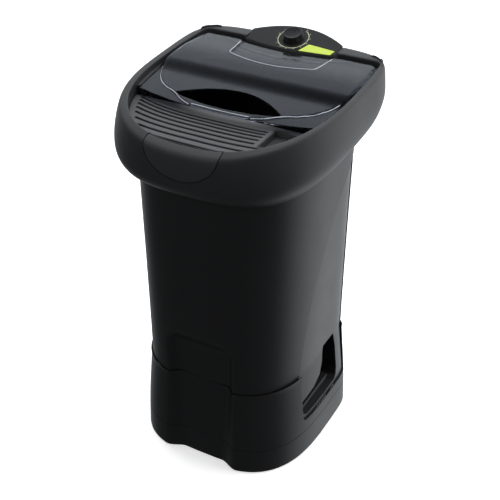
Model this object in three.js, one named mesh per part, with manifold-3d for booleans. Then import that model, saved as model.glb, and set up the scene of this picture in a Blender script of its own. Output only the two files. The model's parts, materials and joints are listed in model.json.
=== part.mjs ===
// A top-loading semi-automatic washing machine for about 6 kg of laundry.
// Millimetres, +Z up, front towards -Y. The origin is on the floor, under the middle of the machine.
import * as THREE from "three";
import { mergeVertices } from "three/addons/utils/BufferGeometryUtils.js";
import Module from "manifold-3d";

const wasm = await Module();
wasm.setup();

// ---------- driving dimensions ----------
const GAP = 0.4; // clearance between pieces that touch or slide into each other
const PLAN_Y = 35.4; // the widest place of every plan outline

const BASE_TOP = 63.5; // seam between the base ring and the skirt
const SKIRT_TOP = 216; // seam between the skirt and the cabinet
const FOOT_HEIGHT = 4;
const WALL = 3; // cabinet, skirt and base ring wall

// Top frame: land height at the front lip, its slope, and the quick rise behind the lip.
const LAND = { front: 800, slope: 0.055, rise: 21.4, riseLength: 70, riseFrom: -233.5 };
const CABINET_TOP = LAND.front - 72;
const NECK_TOP = CABINET_TOP - 28; // the body's plan widens up to here
const ABOVE = LAND.front + 140; // clear of everything: cuts that are open at the top reach this far
const UNDER_LAND = LAND.front - 100; // and those open at the bottom this far

// Plan of the body: half width, reach to the front and to the rear of PLAN_Y.
const FLOOR_PLAN = { half: 205, front: 257, rear: 132 };
const BASE_PLAN = { half: 203, front: 255, rear: 130 };
const SKIRT_PLAN = { half: 191, front: 246, rear: 126 };
const WAIST_PLAN = { half: 187.5, front: 246, rear: 126 };
const NECK_PLAN = { half: 193.8, front: 247, rear: 128 };
const BODY_ROUND = { nFront: 3.1, nRear: 5.2 }; // superellipse powers of the body's plan

// Toe recess in the front, from the floor up.
const RECESS = { depth: 20, half: 84, blend: 26, top: 346, full: 298 };

const RIM_LOW = { front: LAND.front - 120, slope: 0.085 }; // lower edge of the frame's band

// Side panel with the L-shaped channel.
const PANEL = { low: 92, high: RIM_LOW.front - 13, rear: 131, front: -88, sweep: 206, power: 2.6, sheet: 2.8, margin: 9 };
const CHANNEL = { low: 101, high: 227, rear: 83, front: -86, legFront: 22, legTop: 146, depth: 26, wall: 2.5 };

// Top frame: the outlines of its land and mouth.
const RIM_WALL = 4;
const RIM_HALF = 226.6; // half the width of the frame at its land
const LAND_PLAN = { half: RIM_HALF, front: 289, rear: 193, nFront: 2.55, nRear: 5.4 };
const MOUTH_PLAN = { half: RIM_HALF - 12, front: 268, rear: 150.8, nFront: 2.6, nRear: 30, barrel: 0.035 };
const LEDGE = { width: 11, drop: 14, skirt: 40 }; // rebate under the lid

// Front plate: half an ellipse set into the band.
const PLATE = { half: 80, drop: 60, rear: -232, thick: 2.2, high: LAND.front - 3 };

// Washboard
const BOARD = { top: LAND.front - 2, thick: 6, rear: -84, front: -232 };
const GROOVE = { count: 8, first: -226, step: 21, shrink: 0.78, wide: 6, deep: 4, end: 12 }; // closer to the rear
const DISH = { left: 120, right: 178, front: -170, rear: -100, depth: 14, wall: 2 };

// Lid
const LID = {
  thick: 3, below: 4.7, half: MOUTH_PLAN.half - 3.6, barrel: 0.0521, middle: 45, reach: 136, rear: 182, rearBow: 15,
  front: -84, frontBow: 27, rest: 0.6, frontDrop: 6, crown: 4.5,
};
const HAND_HOLE = { half: 120, rear: -22, tip: -76, front: -95 };
const WELL = { half: 98, front: 90, rear: 176, depth: 5 };
const HINGE = { y: 168, below: 9.7, boss: 4.6, pin: 2.3, bossLong: 9, pinEnd: MOUTH_PLAN.half + 2.4 };

// Console
const FASCIA = { y: 183, z: LAND.front + 36, slope: 0.333, thick: 2.5 };
const CONSOLE = { half: 106, sideFront: 192, front: 182, sideRear: 227, rear: 258.5, low: LAND.front - 28, wall: 3 };
const KNOB = { x: -6, y: 221, radius: 22, height: 15, hole: 4 };
const TIMER = { radius: 24, height: 34, shaft: 3 };

// Tub and drive
const TUB = { floor: 330, wall: 3, half: 150, front: 186, rear: 100, mouthDrop: 44, flange: 10 };
const DRIVE = { y: -20, shaft: 6, low: 232, high: 366 };
const HUB = { flange: 46, flangeThick: 8, tube: 17, low: 264, bush: 10, bushLong: 14 };
const AGITATOR = { radius: 98, dome: 26, fins: 4, finHeight: 22 };
const PULLEY = { low: 236, thick: 16, driven: 72, motor: 16, belt: 7 };
const MOTOR = { y: 98, radius: 47, low: 262, high: 318, shaft: 5 };
const BRACKET = { thick: 3.5, half: 62, mount: 9 };
const COVER = { half: 88, low: 250, high: 430, thick: 2.4, lap: 12 };
const DRAIN = { x: -72, y: -78, radius: 13, spigotX: -92, spigotZ: 152, joint: 133 };

const COLOUR = {
  body: [0x222326, 0.5], frame: [0x27282b, 0.45], lid: [0x5b6270, 0.12], black: [0x141416, 0.4],
  lime: [0xc5d93a, 0.4], steel: [0x9a9ea3, 0.35], rubber: [0x171717, 0.9], white: [0xd8d8d2, 0.5],
  motor: [0x5c6066, 0.5], brass: [0xb08d4a, 0.4],
};

// ---------- geometry helpers ----------
const clamp01 = (t) => Math.min(1, Math.max(0, t));
const smooth = (t) => clamp01(t) ** 2 * (3 - 2 * clamp01(t));
const mix = (a, b, t) => a + (b - a) * t;

// Directions at which every plan outline is sampled, closer together where the body turns or steps.
function planAngles() {
  const fromFront = [0, 44, 58, 70, 84, 106, 130, 152, 172].map((x) => {
    const y = (1 - (x / FLOOR_PLAN.half) ** BODY_ROUND.nFront) ** (1 / BODY_ROUND.nFront);
    return Math.atan2(-FLOOR_PLAN.front * y, x);
  });
  const corner = (Math.atan2(MOUTH_PLAN.rear, MOUTH_PLAN.half) * 180) / Math.PI; // the mouth's rear corner
  const toRear = [-36, -18, 0, 16, ...[-8.1, -2.1, 0.3, 2.9, 7.9].map((d) => corner + d), 52, 70, 90];
  const right = [...fromFront, ...toRear.map((d) => (d * Math.PI) / 180)];
  const left = right.slice(1, -1).map((t) => Math.PI - t);
  return [...right, ...left.reverse()];
}
const ANGLES = planAngles();

// Closed plan outline: a superellipse with its own reach and power in front and behind.
function outline(plan, inset = 0) {
  const { nFront, nRear } = { ...BODY_ROUND, ...plan };
  return ANGLES.map((t) => {
    const [c, s] = [Math.cos(t), Math.sin(t)];
    const n = s < 0 ? nFront : nRear;
    const reach = (s < 0 ? plan.front : plan.rear) - inset;
    const r = (Math.abs(c / (plan.half - inset)) ** n + Math.abs(s / reach) ** n) ** (-1 / n);
    const y = PLAN_Y + r * s;
    const pull = plan.barrel ? 1 - plan.barrel * Math.max(0, (y - LID.middle) / LID.reach) ** 2 : 1;
    return [r * c * pull, y];
  });
}

const ring = (plan, z, inset = 0) =>
  outline(plan, inset).map(([x, y]) => new THREE.Vector3(x, y, typeof z === "function" ? z(x, y) : z));

// Skin through rings of equal length. Open ends are capped; a closed one runs back to its first ring.
function skin(rings, closed = false) {
  const count = rings[0].length;
  const points = rings.flat();
  const faces = [];
  for (let i = 0; i < (closed ? rings.length : rings.length - 1); i++) {
    const [low, high] = [i * count, ((i + 1) % rings.length) * count];
    for (let j = 0; j < count; j++) {
      const k = (j + 1) % count;
      faces.push(low + j, low + k, high + k, low + j, high + k, high + j);
    }
  }
  if (!closed) {
    const last = (rings.length - 1) * count;
    const ends = [rings[0], rings[rings.length - 1]];
    ends.forEach((loop) => {
      const middle = loop.reduce((sum, p) => sum.add(p), new THREE.Vector3()).divideScalar(count);
      points.push(middle);
    });
    for (let j = 0; j < count; j++) {
      const k = (j + 1) % count;
      faces.push(k, j, points.length - 2, last + j, last + k, points.length - 1);
    }
  }
  const geometry = new THREE.BufferGeometry().setFromPoints(points);
  geometry.setIndex(faces);
  return geometry;
}

// three.js geometry to a manifold-3d solid, and back.
function solid(geometry) {
  const bare = geometry.clone();
  bare.deleteAttribute("normal");
  bare.deleteAttribute("uv");
  const merged = mergeVertices(bare, 1e-3);
  const vertProperties = merged.attributes.position.array;
  const triVerts = new Uint32Array(merged.index.array);
  return new wasm.Manifold(new wasm.Mesh({ numProp: 3, vertProperties, triVerts }));
}

function geometryOf(made) {
  const mesh = made.getMesh();
  const geometry = new THREE.BufferGeometry();
  geometry.setAttribute("position", new THREE.BufferAttribute(mesh.vertProperties, 3));
  geometry.setIndex(new THREE.BufferAttribute(mesh.triVerts, 1));
  return geometry;
}

const join = (...parts) => parts.reduce((sum, part) => sum.add(part));
const cut = (from, ...parts) => parts.reduce((rest, part) => rest.subtract(part), from);

const box = (x0, x1, y0, y1, z0, z1) =>
  solid(new THREE.BoxGeometry(x1 - x0, y1 - y0, z1 - z0).translate((x0 + x1) / 2, (y0 + y1) / 2, (z0 + z1) / 2));

// Upright cylinder or cone frustum.
const post = (x, y, z0, z1, radius, sides = 20, topRadius = radius) =>
  new THREE.CylinderGeometry(topRadius, radius, z1 - z0, sides)
    .rotateX(Math.PI / 2)
    .translate(x, y, (z0 + z1) / 2);

// Cylinder along X from x0 to x1.
const bar = (x0, x1, y, z, radius, sides = 16) =>
  new THREE.CylinderGeometry(radius, radius, x1 - x0, sides)
    .rotateZ(Math.PI / 2)
    .translate((x0 + x1) / 2, y, z);

// Solid of revolution about the upright line through x, y; the profile is [radius, z] from the axis, upwards.
const turned = (profile, x, y, sides = 32) =>
  new THREE.LatheGeometry(profile.map(([r, z]) => new THREE.Vector2(r, z)), sides)
    .rotateX(Math.PI / 2)
    .translate(x, y, 0);

const shapeOf = (points) => new THREE.Shape(points.map(([a, b]) => new THREE.Vector2(a, b)));

// Prisms over an outline in the XY, YZ and XZ planes.
const prismZ = (points, z0, z1) =>
  new THREE.ExtrudeGeometry(shapeOf(points), { depth: z1 - z0, bevelEnabled: false }).translate(0, 0, z0);
const prismX = (points, x0, x1) =>
  new THREE.ExtrudeGeometry(shapeOf(points), { depth: x1 - x0, bevelEnabled: false })
    .applyMatrix4(new THREE.Matrix4().set(0, 0, 1, x0, 1, 0, 0, 0, 0, 1, 0, 0, 0, 0, 0, 1));
const prismY = (points, y0, y1) =>
  new THREE.ExtrudeGeometry(shapeOf(points), { depth: y1 - y0, bevelEnabled: false })
    .applyMatrix4(new THREE.Matrix4().set(1, 0, 0, 0, 0, 0, -1, y1, 0, 1, 0, 0, 0, 0, 0, 1));

// Moves an outline outwards by a distance; the outline runs anticlockwise.
function grow(points, distance) {
  return points.map((p, i) => {
    const before = points[(i + points.length - 1) % points.length];
    const after = points[(i + 1) % points.length];
    const normal = ([ax, ay], [bx, by]) => {
      const length = Math.hypot(bx - ax, by - ay);
      return [(by - ay) / length, (ax - bx) / length];
    };
    const [n, m] = [normal(before, p), normal(p, after)];
    const share = distance / (1 + n[0] * m[0] + n[1] * m[1]);
    return [p[0] + share * (n[0] + m[0]), p[1] + share * (n[1] + m[1])];
  });
}

const arcPoints = (cx, cy, rx, ry, from, to, steps) =>
  Array.from({ length: steps + 1 }, (_, i) => {
    const t = ((from + ((to - from) * i) / steps) * Math.PI) / 180;
    return [cx + rx * Math.cos(t), cy + ry * Math.sin(t)];
  });

// ---------- the assembly ----------
const machine = new THREE.Group();
const materials = {};
for (const [name, [color, roughness]] of Object.entries(COLOUR)) {
  const metalness = ["steel", "motor", "brass"].includes(name) ? 0.9 : 0;
  const clear = name === "lid" ? { transparent: true, opacity: 0.5 } : {};
  materials[name] = { color, roughness, metalness, ...clear };
}

function put(name, made, colour) {
  const geometry = made.isBufferGeometry ? made : geometryOf(made);
  const mesh = new THREE.Mesh(geometry, new THREE.MeshStandardMaterial(materials[colour]));
  mesh.name = name;
  machine.add(mesh);
  return mesh;
}

// ---------- body shells ----------
// Plan of the outer body at a height.
function bodyPlan(z) {
  const levels = [[0, FLOOR_PLAN], [BASE_TOP, BASE_PLAN], [SKIRT_TOP, SKIRT_PLAN]];
  if (z > SKIRT_TOP) levels.push([SKIRT_TOP + 0.01, WAIST_PLAN], [330, WAIST_PLAN], [NECK_TOP, NECK_PLAN]);
  let i = levels.findIndex(([level]) => level >= z);
  if (i < 0) return { ...NECK_PLAN };
  i = Math.max(1, i);
  const [[z0, a], [z1, b]] = [levels[i - 1], levels[i]];
  const t = (z - z0) / (z1 - z0);
  return { half: mix(a.half, b.half, t), front: mix(a.front, b.front, t), rear: mix(a.rear, b.rear, t) };
}

// How far the toe recess pushes the front in at a place.
function recessDepth(x, z) {
  const climb = clamp01((z - RECESS.full) / (RECESS.top - RECESS.full));
  const half = RECESS.half - 30 * climb ** 2;
  return RECESS.depth * smooth((half - Math.abs(x)) / RECESS.blend) * (1 - smooth(climb));
}

function bodyRing(z, inset, recessed = true) {
  const loop = ring(bodyPlan(z), z, inset);
  if (recessed) loop.forEach((p) => { if (p.y < 0) p.y += recessDepth(p.x, z); });
  return loop;
}

const tube = (heights, wall) =>
  solid(skin([...heights.map((z) => bodyRing(z, 0)), ...heights.toReversed().map((z) => bodyRing(z, wall))], true));

// Window of the side panel as an outline in Y and Z, anticlockwise seen from +X.
function panelWindow() {
  const sweepTo = (z) => {
    const t = (z - PANEL.low) / (PANEL.high - PANEL.low);
    return PANEL.front + PANEL.sweep * t ** PANEL.power;
  };
  const points = [[PANEL.front + 8, PANEL.low], [PANEL.rear, PANEL.low], [PANEL.rear, PANEL.high]];
  for (let i = 0; i <= 12; i++) {
    const z = mix(PANEL.high, PANEL.low + 14, i / 12);
    points.push([sweepTo(z), z]);
  }
  return points;
}

function channelOutline() {
  const { low, high, rear, front, legFront, legTop } = CHANNEL;
  return [
    [rear - 17, low], [rear - 5, low + 7], [rear, low + 27], [rear, high - 5], [rear - 5, high],
    [legFront, high], [legFront - 2, high - 19], [legFront - 8, high - 38], [legFront - 17, legTop + 24],
    [legFront - 30, legTop + 12], [legFront - 53, legTop + 4], [legFront - 82, legTop - 2],
    [front + 2, legTop - 7], [front, legTop - 22], [front + 2, low + 9], [front + 14, low],
  ];
}

// The mirror image of a solid across the plane X = 0.
function mirrored(made) {
  const geometry = geometryOf(made);
  const position = geometry.attributes.position;
  for (let i = 0; i < position.count; i++) position.setX(i, -position.getX(i));
  const index = geometry.index.array;
  for (let i = 0; i < index.length; i += 3) [index[i], index[i + 1]] = [index[i + 1], index[i]];
  return solid(geometry);
}

const SIDE_REACH = FLOOR_PLAN.half + 40;
const windowHole = solid(prismX(panelWindow(), 120, SIDE_REACH));
const windowHoles = join(windowHole, mirrored(windowHole));

// Access hole in the rear wall, behind the rear cover.
const COVER_HOLE = { half: COVER.half - COVER.lap, low: COVER.low + COVER.lap, high: COVER.high - COVER.lap };
const coverHole = box(-COVER_HOLE.half, COVER_HOLE.half, 130, 200, COVER_HOLE.low, COVER_HOLE.high);
const coverScrews = [-1, 1].flatMap((sx) => [COVER.low + 6, COVER.high - 6].map((z) => [sx * (COVER.half - 6), z]));
const rearWall = (z) => PLAN_Y + bodyPlan(z).rear;
const screwHoles = coverScrews.map(([x, z]) =>
  solid(post(x, -z, 120, 200, 1.6, 10).rotateX(-Math.PI / 2)));

const cabinetWall = tube([SKIRT_TOP + GAP, 262, RECESS.full, 322, RECESS.top, 440, 580, NECK_TOP, CABINET_TOP], WALL);
put("cabinet", cut(cabinetWall, windowHoles, coverHole, ...screwHoles), "body");

// Cylinder along Y from y0 to y1.
const barY = (x, z, y0, y1, radius, sides = 16, endRadius = radius) =>
  new THREE.CylinderGeometry(endRadius, radius, y1 - y0, sides).translate(x, (y0 + y1) / 2, z);

const GLAND = { x: 96, z: 120, radius: 8 };
const spigotHole = solid(barY(DRAIN.spigotX, DRAIN.spigotZ, 120, 200, DRAIN.radius + GAP, 18));
const glandHole = solid(barY(GLAND.x, GLAND.z, 120, 200, GLAND.radius + GAP, 14));
const skirtWall = tube([BASE_TOP + GAP, 140, SKIRT_TOP], WALL);
put("base_skirt", cut(skirtWall, windowHoles, spigotHole, glandHole), "body");

// Base ring with an inward flange that stands on the feet.
const FLANGE = { wide: 34, thick: 4 };
const baseRings = [
  bodyRing(FOOT_HEIGHT, 0), bodyRing(30, 0), bodyRing(BASE_TOP, 0), bodyRing(BASE_TOP, WALL),
  bodyRing(30, WALL), bodyRing(FOOT_HEIGHT + FLANGE.thick, WALL),
  bodyRing(FOOT_HEIGHT + FLANGE.thick, FLANGE.wide), bodyRing(FOOT_HEIGHT, FLANGE.wide),
];
const FOOT = { x: 150, front: -128, rear: 128, radius: 15, stem: 5 };
const footPlaces = [-1, 1].flatMap((sx) => [FOOT.front, FOOT.rear].map((y) => [sx * FOOT.x, y]));
const footHoles = footPlaces.map(([x, y]) => solid(post(x, y, 0, 40, FOOT.stem + GAP, 12)));
put("base_ring", cut(solid(skin(baseRings, true)), ...footHoles), "body");

footPlaces.forEach(([x, y], i) => {
  const profile = [
    [0, 0], [FOOT.radius - 2, 0], [FOOT.radius, 1.5], [FOOT.radius, FOOT_HEIGHT - GAP],
    [FOOT.stem, FOOT_HEIGHT - GAP], [FOOT.stem, FOOT_HEIGHT + FLANGE.thick + 3], [0, FOOT_HEIGHT + FLANGE.thick + 3],
  ];
  put(`foot_${i + 1}`, turned(profile, x, y, 14), "rubber");
});

// ---------- side panels with the L-shaped channel ----------
const sheetPlan = (z) => (z < SKIRT_TOP - 1
  ? (({ half, front, rear }) => {
    const t = clamp01((z - BASE_TOP) / (SKIRT_TOP - BASE_TOP));
    return { half: mix(BASE_PLAN.half, WAIST_PLAN.half, t), front, rear };
  })(bodyPlan(z))
  : bodyPlan(Math.max(z, SKIRT_TOP + 0.1)));

function sidePanel() {
  const inset = WALL + GAP;
  const heights = [PANEL.low - 12, 150, SKIRT_TOP, 330, 460, 580, PANEL.high + 14];
  const layer = (depth) => solid(skin(heights.map((z) => ring(sheetPlan(z), z, depth))));
  const outer = layer(inset);
  const sheet = outer.subtract(layer(inset + PANEL.sheet));
  const blank = solid(prismX(grow(panelWindow(), PANEL.margin), 100, SIDE_REACH));
  const tray = solid(prismX(grow(channelOutline(), CHANNEL.wall), WAIST_PLAN.half - inset - CHANNEL.depth, SIDE_REACH));
  const hollow = solid(prismX(channelOutline(), WAIST_PLAN.half - inset - CHANNEL.depth + CHANNEL.wall, SIDE_REACH));
  const fromOutside = sheet.intersect(blank).add(tray.intersect(outer));
  return fromOutside.subtract(hollow);
}
const rightPanel = sidePanel();
put("side_panel_right", rightPanel, "body");
put("side_panel_left", mirrored(rightPanel), "body");

// Rear cover: a plate that follows the rear wall from outside.
const coverLayer = (out) =>
  solid(skin([COVER.low - 20, 330, COVER.high + 20].map((z) => ring(bodyPlan(z), z, -out))));
const coverBlank = box(-COVER.half, COVER.half, 100, 200, COVER.low, COVER.high);
const coverSheet = coverLayer(GAP + COVER.thick).subtract(coverLayer(GAP)).intersect(coverBlank);
put("rear_cover", cut(coverSheet, ...screwHoles), "body");
coverScrews.forEach(([x, z], i) => {
  const wall = rearWall(z);
  const face = wall + GAP + COVER.thick;
  const head = solid(barY(x, z, face + 0.3, face + 2.6, 3.6, 12));
  const stem = solid(barY(x, z, wall - 8, face + 0.6, 1.2, 8));
  put(`cover_screw_${i + 1}`, head.add(stem), "steel");
});

// ---------- top frame ----------
const landTop = (y) =>
  LAND.front + LAND.slope * (y - LAND.riseFrom) + LAND.rise * (1 - Math.exp(-(y - LAND.riseFrom) / LAND.riseLength));
const bandLow = (y) => RIM_LOW.front + RIM_LOW.slope * (y + 245);
const dropped = (share) => (_, y) => mix(landTop(y), bandLow(y), share);
const below = (drop) => (_, y) => landTop(y) - drop;

// Outer profile of the band from its lower edge up: share of its height, and the plan there.
const neck = { ...BODY_ROUND, ...NECK_PLAN };
const BAND = [
  [1, { half: RIM_HALF - 25.1, front: 254, rear: 141, nFront: 3.1, nRear: 5.2 }],
  [0.94, { half: RIM_HALF - 19.6, front: 264, rear: 143, nFront: 3.05, nRear: 4.9 }],
  [0.82, { half: RIM_HALF - 4.6, front: 282, rear: 152, nFront: 2.95, nRear: 4.6 }],
  [0.64, { half: RIM_HALF + 7.4, front: 293, rear: 170, nFront: 2.85, nRear: 4.6 }],
  [0.44, { half: RIM_HALF + 10.9, front: 294, rear: 188, nFront: 2.75, nRear: 4.9 }],
  [0.2, { half: RIM_HALF + 7.4, front: 293.5, rear: 194, nFront: 2.65, nRear: 5.1 }],
  [0.06, { half: RIM_HALF + 2.9, front: 291.5, rear: 196, nFront: 2.58, nRear: 5.3 }],
];

function frameRings() {
  const outer = BAND.map(([share, plan]) => ring(plan, dropped(share)));
  const inner = BAND.slice(1).toReversed().map(([share, plan]) => ring(plan, dropped(share), RIM_WALL));
  const ledge = { ...MOUTH_PLAN, half: MOUTH_PLAN.half - LEDGE.width, front: MOUTH_PLAN.front - LEDGE.width };
  ledge.rear -= LEDGE.width;
  return [
    ...outer, ring(LAND_PLAN, below(0.8)), ring(LAND_PLAN, below(0), 2.5), ring(MOUTH_PLAN, below(0)),
    ring(MOUTH_PLAN, below(LEDGE.drop)), ring(ledge, below(LEDGE.drop)), ring(ledge, below(LEDGE.skirt)),
    ring(ledge, below(LEDGE.skirt), -RIM_WALL), ring(ledge, below(LEDGE.drop + RIM_WALL), -RIM_WALL),
    ring(MOUTH_PLAN, below(LEDGE.drop + RIM_WALL), -RIM_WALL), ring(MOUTH_PLAN, below(RIM_WALL), -RIM_WALL),
    ...inner, ring(neck, dropped(0.97), -GAP - 0.6), ring(neck, dropped(1), -GAP - 0.6),
  ];
}

// Front plate and the pocket it sits in: the band's own skin inside half an ellipse.
const plateOutline = (extra) => [
  [-PLATE.half - extra, PLATE.high + 40],
  ...arcPoints(0, PLATE.high, PLATE.half + extra, PLATE.drop + extra, 180, 360, 20),
  [PLATE.half + extra, PLATE.high + 40],
];
function frameBlank(inset) {
  const lands = [LAND_PLAN, LAND_PLAN, LAND_PLAN].map((plan, i) => ring(plan, below(inset), [2.5, 12, 34][i] + inset));
  const band = BAND.map(([share, plan]) => ring(plan, dropped(share), inset));
  return solid(skin([...band, ring(LAND_PLAN, below(0.8 + inset), inset), ...lands]));
}
const plateCut = (extra) => solid(prismY(plateOutline(extra), -300, PLATE.rear + extra));
const plateSkin = (top, depth) => frameBlank(top).subtract(frameBlank(depth));
const pocket = plateSkin(-6, PLATE.thick + GAP).intersect(plateCut(GAP));
put("front_plate", plateSkin(0, PLATE.thick).intersect(plateCut(0)), "frame");

// Console housing: a lens-shaped box over the frame's rear land.
function lensOutline(inset) {
  const { half, sideFront, front, sideRear, rear } = CONSOLE;
  const bow = (edge, middle, steps, dir) => Array.from({ length: steps + 1 }, (_, i) => {
    const u = (-1 + (2 * i) / steps) * dir;
    return [u * (half - inset), mix(middle, edge, u * u)];
  });
  return [...bow(sideFront + inset, front + inset, 10, 1), ...bow(sideRear - inset, rear - inset, 16, -1)];
}
const fasciaZ = (y) => FASCIA.z + FASCIA.slope * (y - FASCIA.y);
const TILT = Math.atan(FASCIA.slope);

// Everything above a plane parallel to the fascia, lifted by a distance.
function aboveFascia(lift) {
  const height = 120;
  const slab = new THREE.BoxGeometry(400, 400, height).translate(0, 0, height / 2 + lift);
  return solid(slab.rotateX(TILT).translate(0, FASCIA.y, FASCIA.z));
}

const housingOuter = solid(prismZ(lensOutline(0), CONSOLE.low, ABOVE)).subtract(aboveFascia(-FASCIA.thick - GAP));
const housingInner = solid(prismZ(lensOutline(CONSOLE.wall), CONSOLE.low + CONSOLE.wall, ABOVE));
put("console_housing", housingOuter.subtract(housingInner), "frame");

const consoleNotch = solid(prismZ(lensOutline(-GAP), CONSOLE.low - GAP, ABOVE));
const mouthHalf = (y) => {
  const t = clamp01((PLAN_Y - y) / MOUTH_PLAN.front);
  return MOUTH_PLAN.half * (1 - t ** MOUTH_PLAN.nFront) ** (1 / MOUTH_PLAN.nFront);
};
const dishOutline = (extra) => [
  [DISH.left - extra, DISH.front - extra], [mouthHalf(DISH.front) - 18 + extra, DISH.front - extra],
  [DISH.right + extra, DISH.front + 34], [DISH.right + extra, DISH.rear + extra], [DISH.left - extra, DISH.rear + extra],
];
const dishClear = solid(prismZ(dishOutline(DISH.wall + 2 * GAP), BOARD.top - DISH.depth - 3, BOARD.top));
const frontClear = solid(skin([ring(MOUTH_PLAN, BOARD.top - BOARD.thick - 0.3), ring(MOUTH_PLAN, ABOVE)]))
  .intersect(box(-300, 300, -300, BOARD.rear + GAP, UNDER_LAND, ABOVE));
const rearClear = solid(skin([ring(MOUTH_PLAN, LAND.front + 6), ring(MOUTH_PLAN, ABOVE)]))
  .intersect(box(-300, 300, HINGE.y - 16, 300, UNDER_LAND, ABOVE));
const hingeZ = landTop(HINGE.y) - HINGE.below;
const pinHole = (extra) =>
  solid(bar(-HINGE.pinEnd - GAP, HINGE.pinEnd + GAP, HINGE.y, hingeZ, HINGE.pin + extra, 12));
const frame = cut(solid(skin(frameRings(), true)), pocket, consoleNotch, frontClear, rearClear, dishClear);
const pinBosses = [-1, 1].map((side) => {
  const [a, b] = [side * (HINGE.pinEnd - 11), side * (HINGE.pinEnd + 2.5)];
  return solid(bar(Math.min(a, b), Math.max(a, b), HINGE.y, hingeZ, 6, 12));
});
const bossShell = join(...pinBosses).subtract(solid(skin([ring(MOUTH_PLAN, UNDER_LAND), ring(MOUTH_PLAN, ABOVE)])));
put("top_frame", frame.add(bossShell).subtract(pinHole(0.3)), "frame");

// ---------- washboard and soap dish ----------
const boardPlan = (z) => ring(MOUTH_PLAN, z, GAP + 0.4);
const boardBlank = solid(skin([boardPlan(BOARD.top - BOARD.thick), boardPlan(BOARD.top)]))
  .intersect(box(-300, 300, BOARD.front + GAP, BOARD.rear, UNDER_LAND, ABOVE));
const grooves = Array.from({ length: GROOVE.count }, (_, i) => {
  const y = GROOVE.first + GROOVE.step * i - GROOVE.shrink * i * i;
  const left = GROOVE.end - mouthHalf(y);
  const right = y > DISH.front - 12 ? DISH.left - 12 : -left;
  const half = GROOVE.wide / 2;
  const outlineOfSlot = [
    ...arcPoints(left, y, half, half, 90, 270, 5), ...arcPoints(right, y, half, half, -90, 90, 5),
  ];
  return solid(prismZ(outlineOfSlot, BOARD.top - GROOVE.deep, BOARD.top + 5));
});
const dishHole = solid(prismZ(dishOutline(DISH.wall + GAP), UNDER_LAND, ABOVE));
put("washboard", cut(boardBlank, ...grooves, dishHole), "frame");

const dishOuter = solid(prismZ(dishOutline(DISH.wall), BOARD.top - DISH.depth, BOARD.top));
const dishInner = solid(prismZ(dishOutline(0), BOARD.top - DISH.depth + DISH.wall, BOARD.top + 10));
put("soap_dish", dishOuter.subtract(dishInner), "frame");

// ---------- lid ----------
const lidHalf = (y) => LID.half * (1 - LID.barrel * ((y - LID.middle) / LID.reach) ** 2);
const lidRear = (x) => LID.rear - LID.rearBow * Math.max(0, 1 - (x / 120) ** 2);
const lidFront = (x) => LID.front - LID.frontBow * (1 - (x / LID.half) ** 2);
const wellDepth = (x, y) => {
  const along = smooth((y - (WELL.front + 20 * (x / WELL.half) ** 2)) / 6);
  const across = smooth((WELL.half + 6 - Math.abs(x)) / 6);
  return y < lidRear(x) + 1 ? WELL.depth * along * across : 0;
};
const lidTop = (x, y) => {
  const crown = LID.crown * Math.exp(-(((y - 95) / 62) ** 2));
  const drop = LID.frontDrop * smooth((44 - y) / 52);
  return landTop(y) - LID.below + crown - drop - wellDepth(x, y);
};

function lidSheet() {
  const half = [0.2, 0.38, 0.46, 0.52, 0.72, 0.94, 0.975, 1];
  const across = [...half.map((u) => -u).reverse(), 0, ...half];
  const along = [0, 0.08, 0.2, 0.3, 0.34, 0.42, 0.52, 0.62, 0.74, 0.87, 1];
  const rows = along.map((v) => across.map((u) => {
    let [x, y] = [u * LID.half, 0];
    for (let pass = 0; pass < 4; pass++) {
      y = mix(lidRear(x), lidFront(x), v);
      x = u * lidHalf(y);
    }
    return [x, y];
  }));
  const last = across.length - 1;
  const top = rows.map((row) => row.map(([x, y]) => new THREE.Vector3(x, y, lidTop(x, y))));
  const bottom = rows.map((row) => row.map(([x, y], i) => {
    const rest = landTop(y) - LEDGE.drop + LID.rest;
    const under = lidTop(x, y) - LID.thick;
    return new THREE.Vector3(x, y, i === 0 || i === last ? Math.min(rest, under) : under);
  }));
  const points = [...top.flat(), ...bottom.flat()];
  const [w, h] = [across.length, along.length];
  const at = (layer, i, j) => layer * w * h + i * w + j;
  const faces = [];
  const quad = (a, b, c, d) => faces.push(a, b, c, a, c, d);
  for (let i = 0; i < h - 1; i++) {
    for (let j = 0; j < w - 1; j++) {
      quad(at(0, i, j), at(0, i + 1, j), at(0, i + 1, j + 1), at(0, i, j + 1));
      quad(at(1, i, j), at(1, i, j + 1), at(1, i + 1, j + 1), at(1, i + 1, j));
    }
    quad(at(0, i, 0), at(1, i, 0), at(1, i + 1, 0), at(0, i + 1, 0));
    quad(at(0, i, last), at(0, i + 1, last), at(1, i + 1, last), at(1, i, last));
  }
  for (let j = 0; j < w - 1; j++) {
    quad(at(0, 0, j), at(0, 0, j + 1), at(1, 0, j + 1), at(1, 0, j));
    quad(at(0, h - 1, j), at(1, h - 1, j), at(1, h - 1, j + 1), at(0, h - 1, j + 1));
  }
  const geometry = new THREE.BufferGeometry().setFromPoints(points);
  geometry.setIndex(faces);
  return solid(geometry);
}

// Lens-shaped hand hole behind the lid's front edge.
function handHole() {
  const { half, rear, tip, front } = HAND_HOLE;
  const bow = (middle, dir, steps) => Array.from({ length: steps }, (_, i) => {
    const u = (-1 + (2 * i) / steps) * dir;
    return [u * half, mix(middle, tip, u * u)];
  });
  return solid(prismZ([...bow(front, 1, 14), ...bow(rear, -1, 16)], LAND.front - 20, ABOVE));
}
const lidEdge = lidHalf(HINGE.y);
const lidBosses = [-1, 1].map((side) => {
  const [a, b] = [side * (lidEdge - HINGE.bossLong), side * (lidEdge - 0.2)];
  return solid(bar(Math.min(a, b), Math.max(a, b), HINGE.y, hingeZ, HINGE.boss, 12));
});
const lid = join(lidSheet(), ...lidBosses);
put("lid", cut(lid, handHole(), pinHole(0.45)), "lid");

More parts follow.
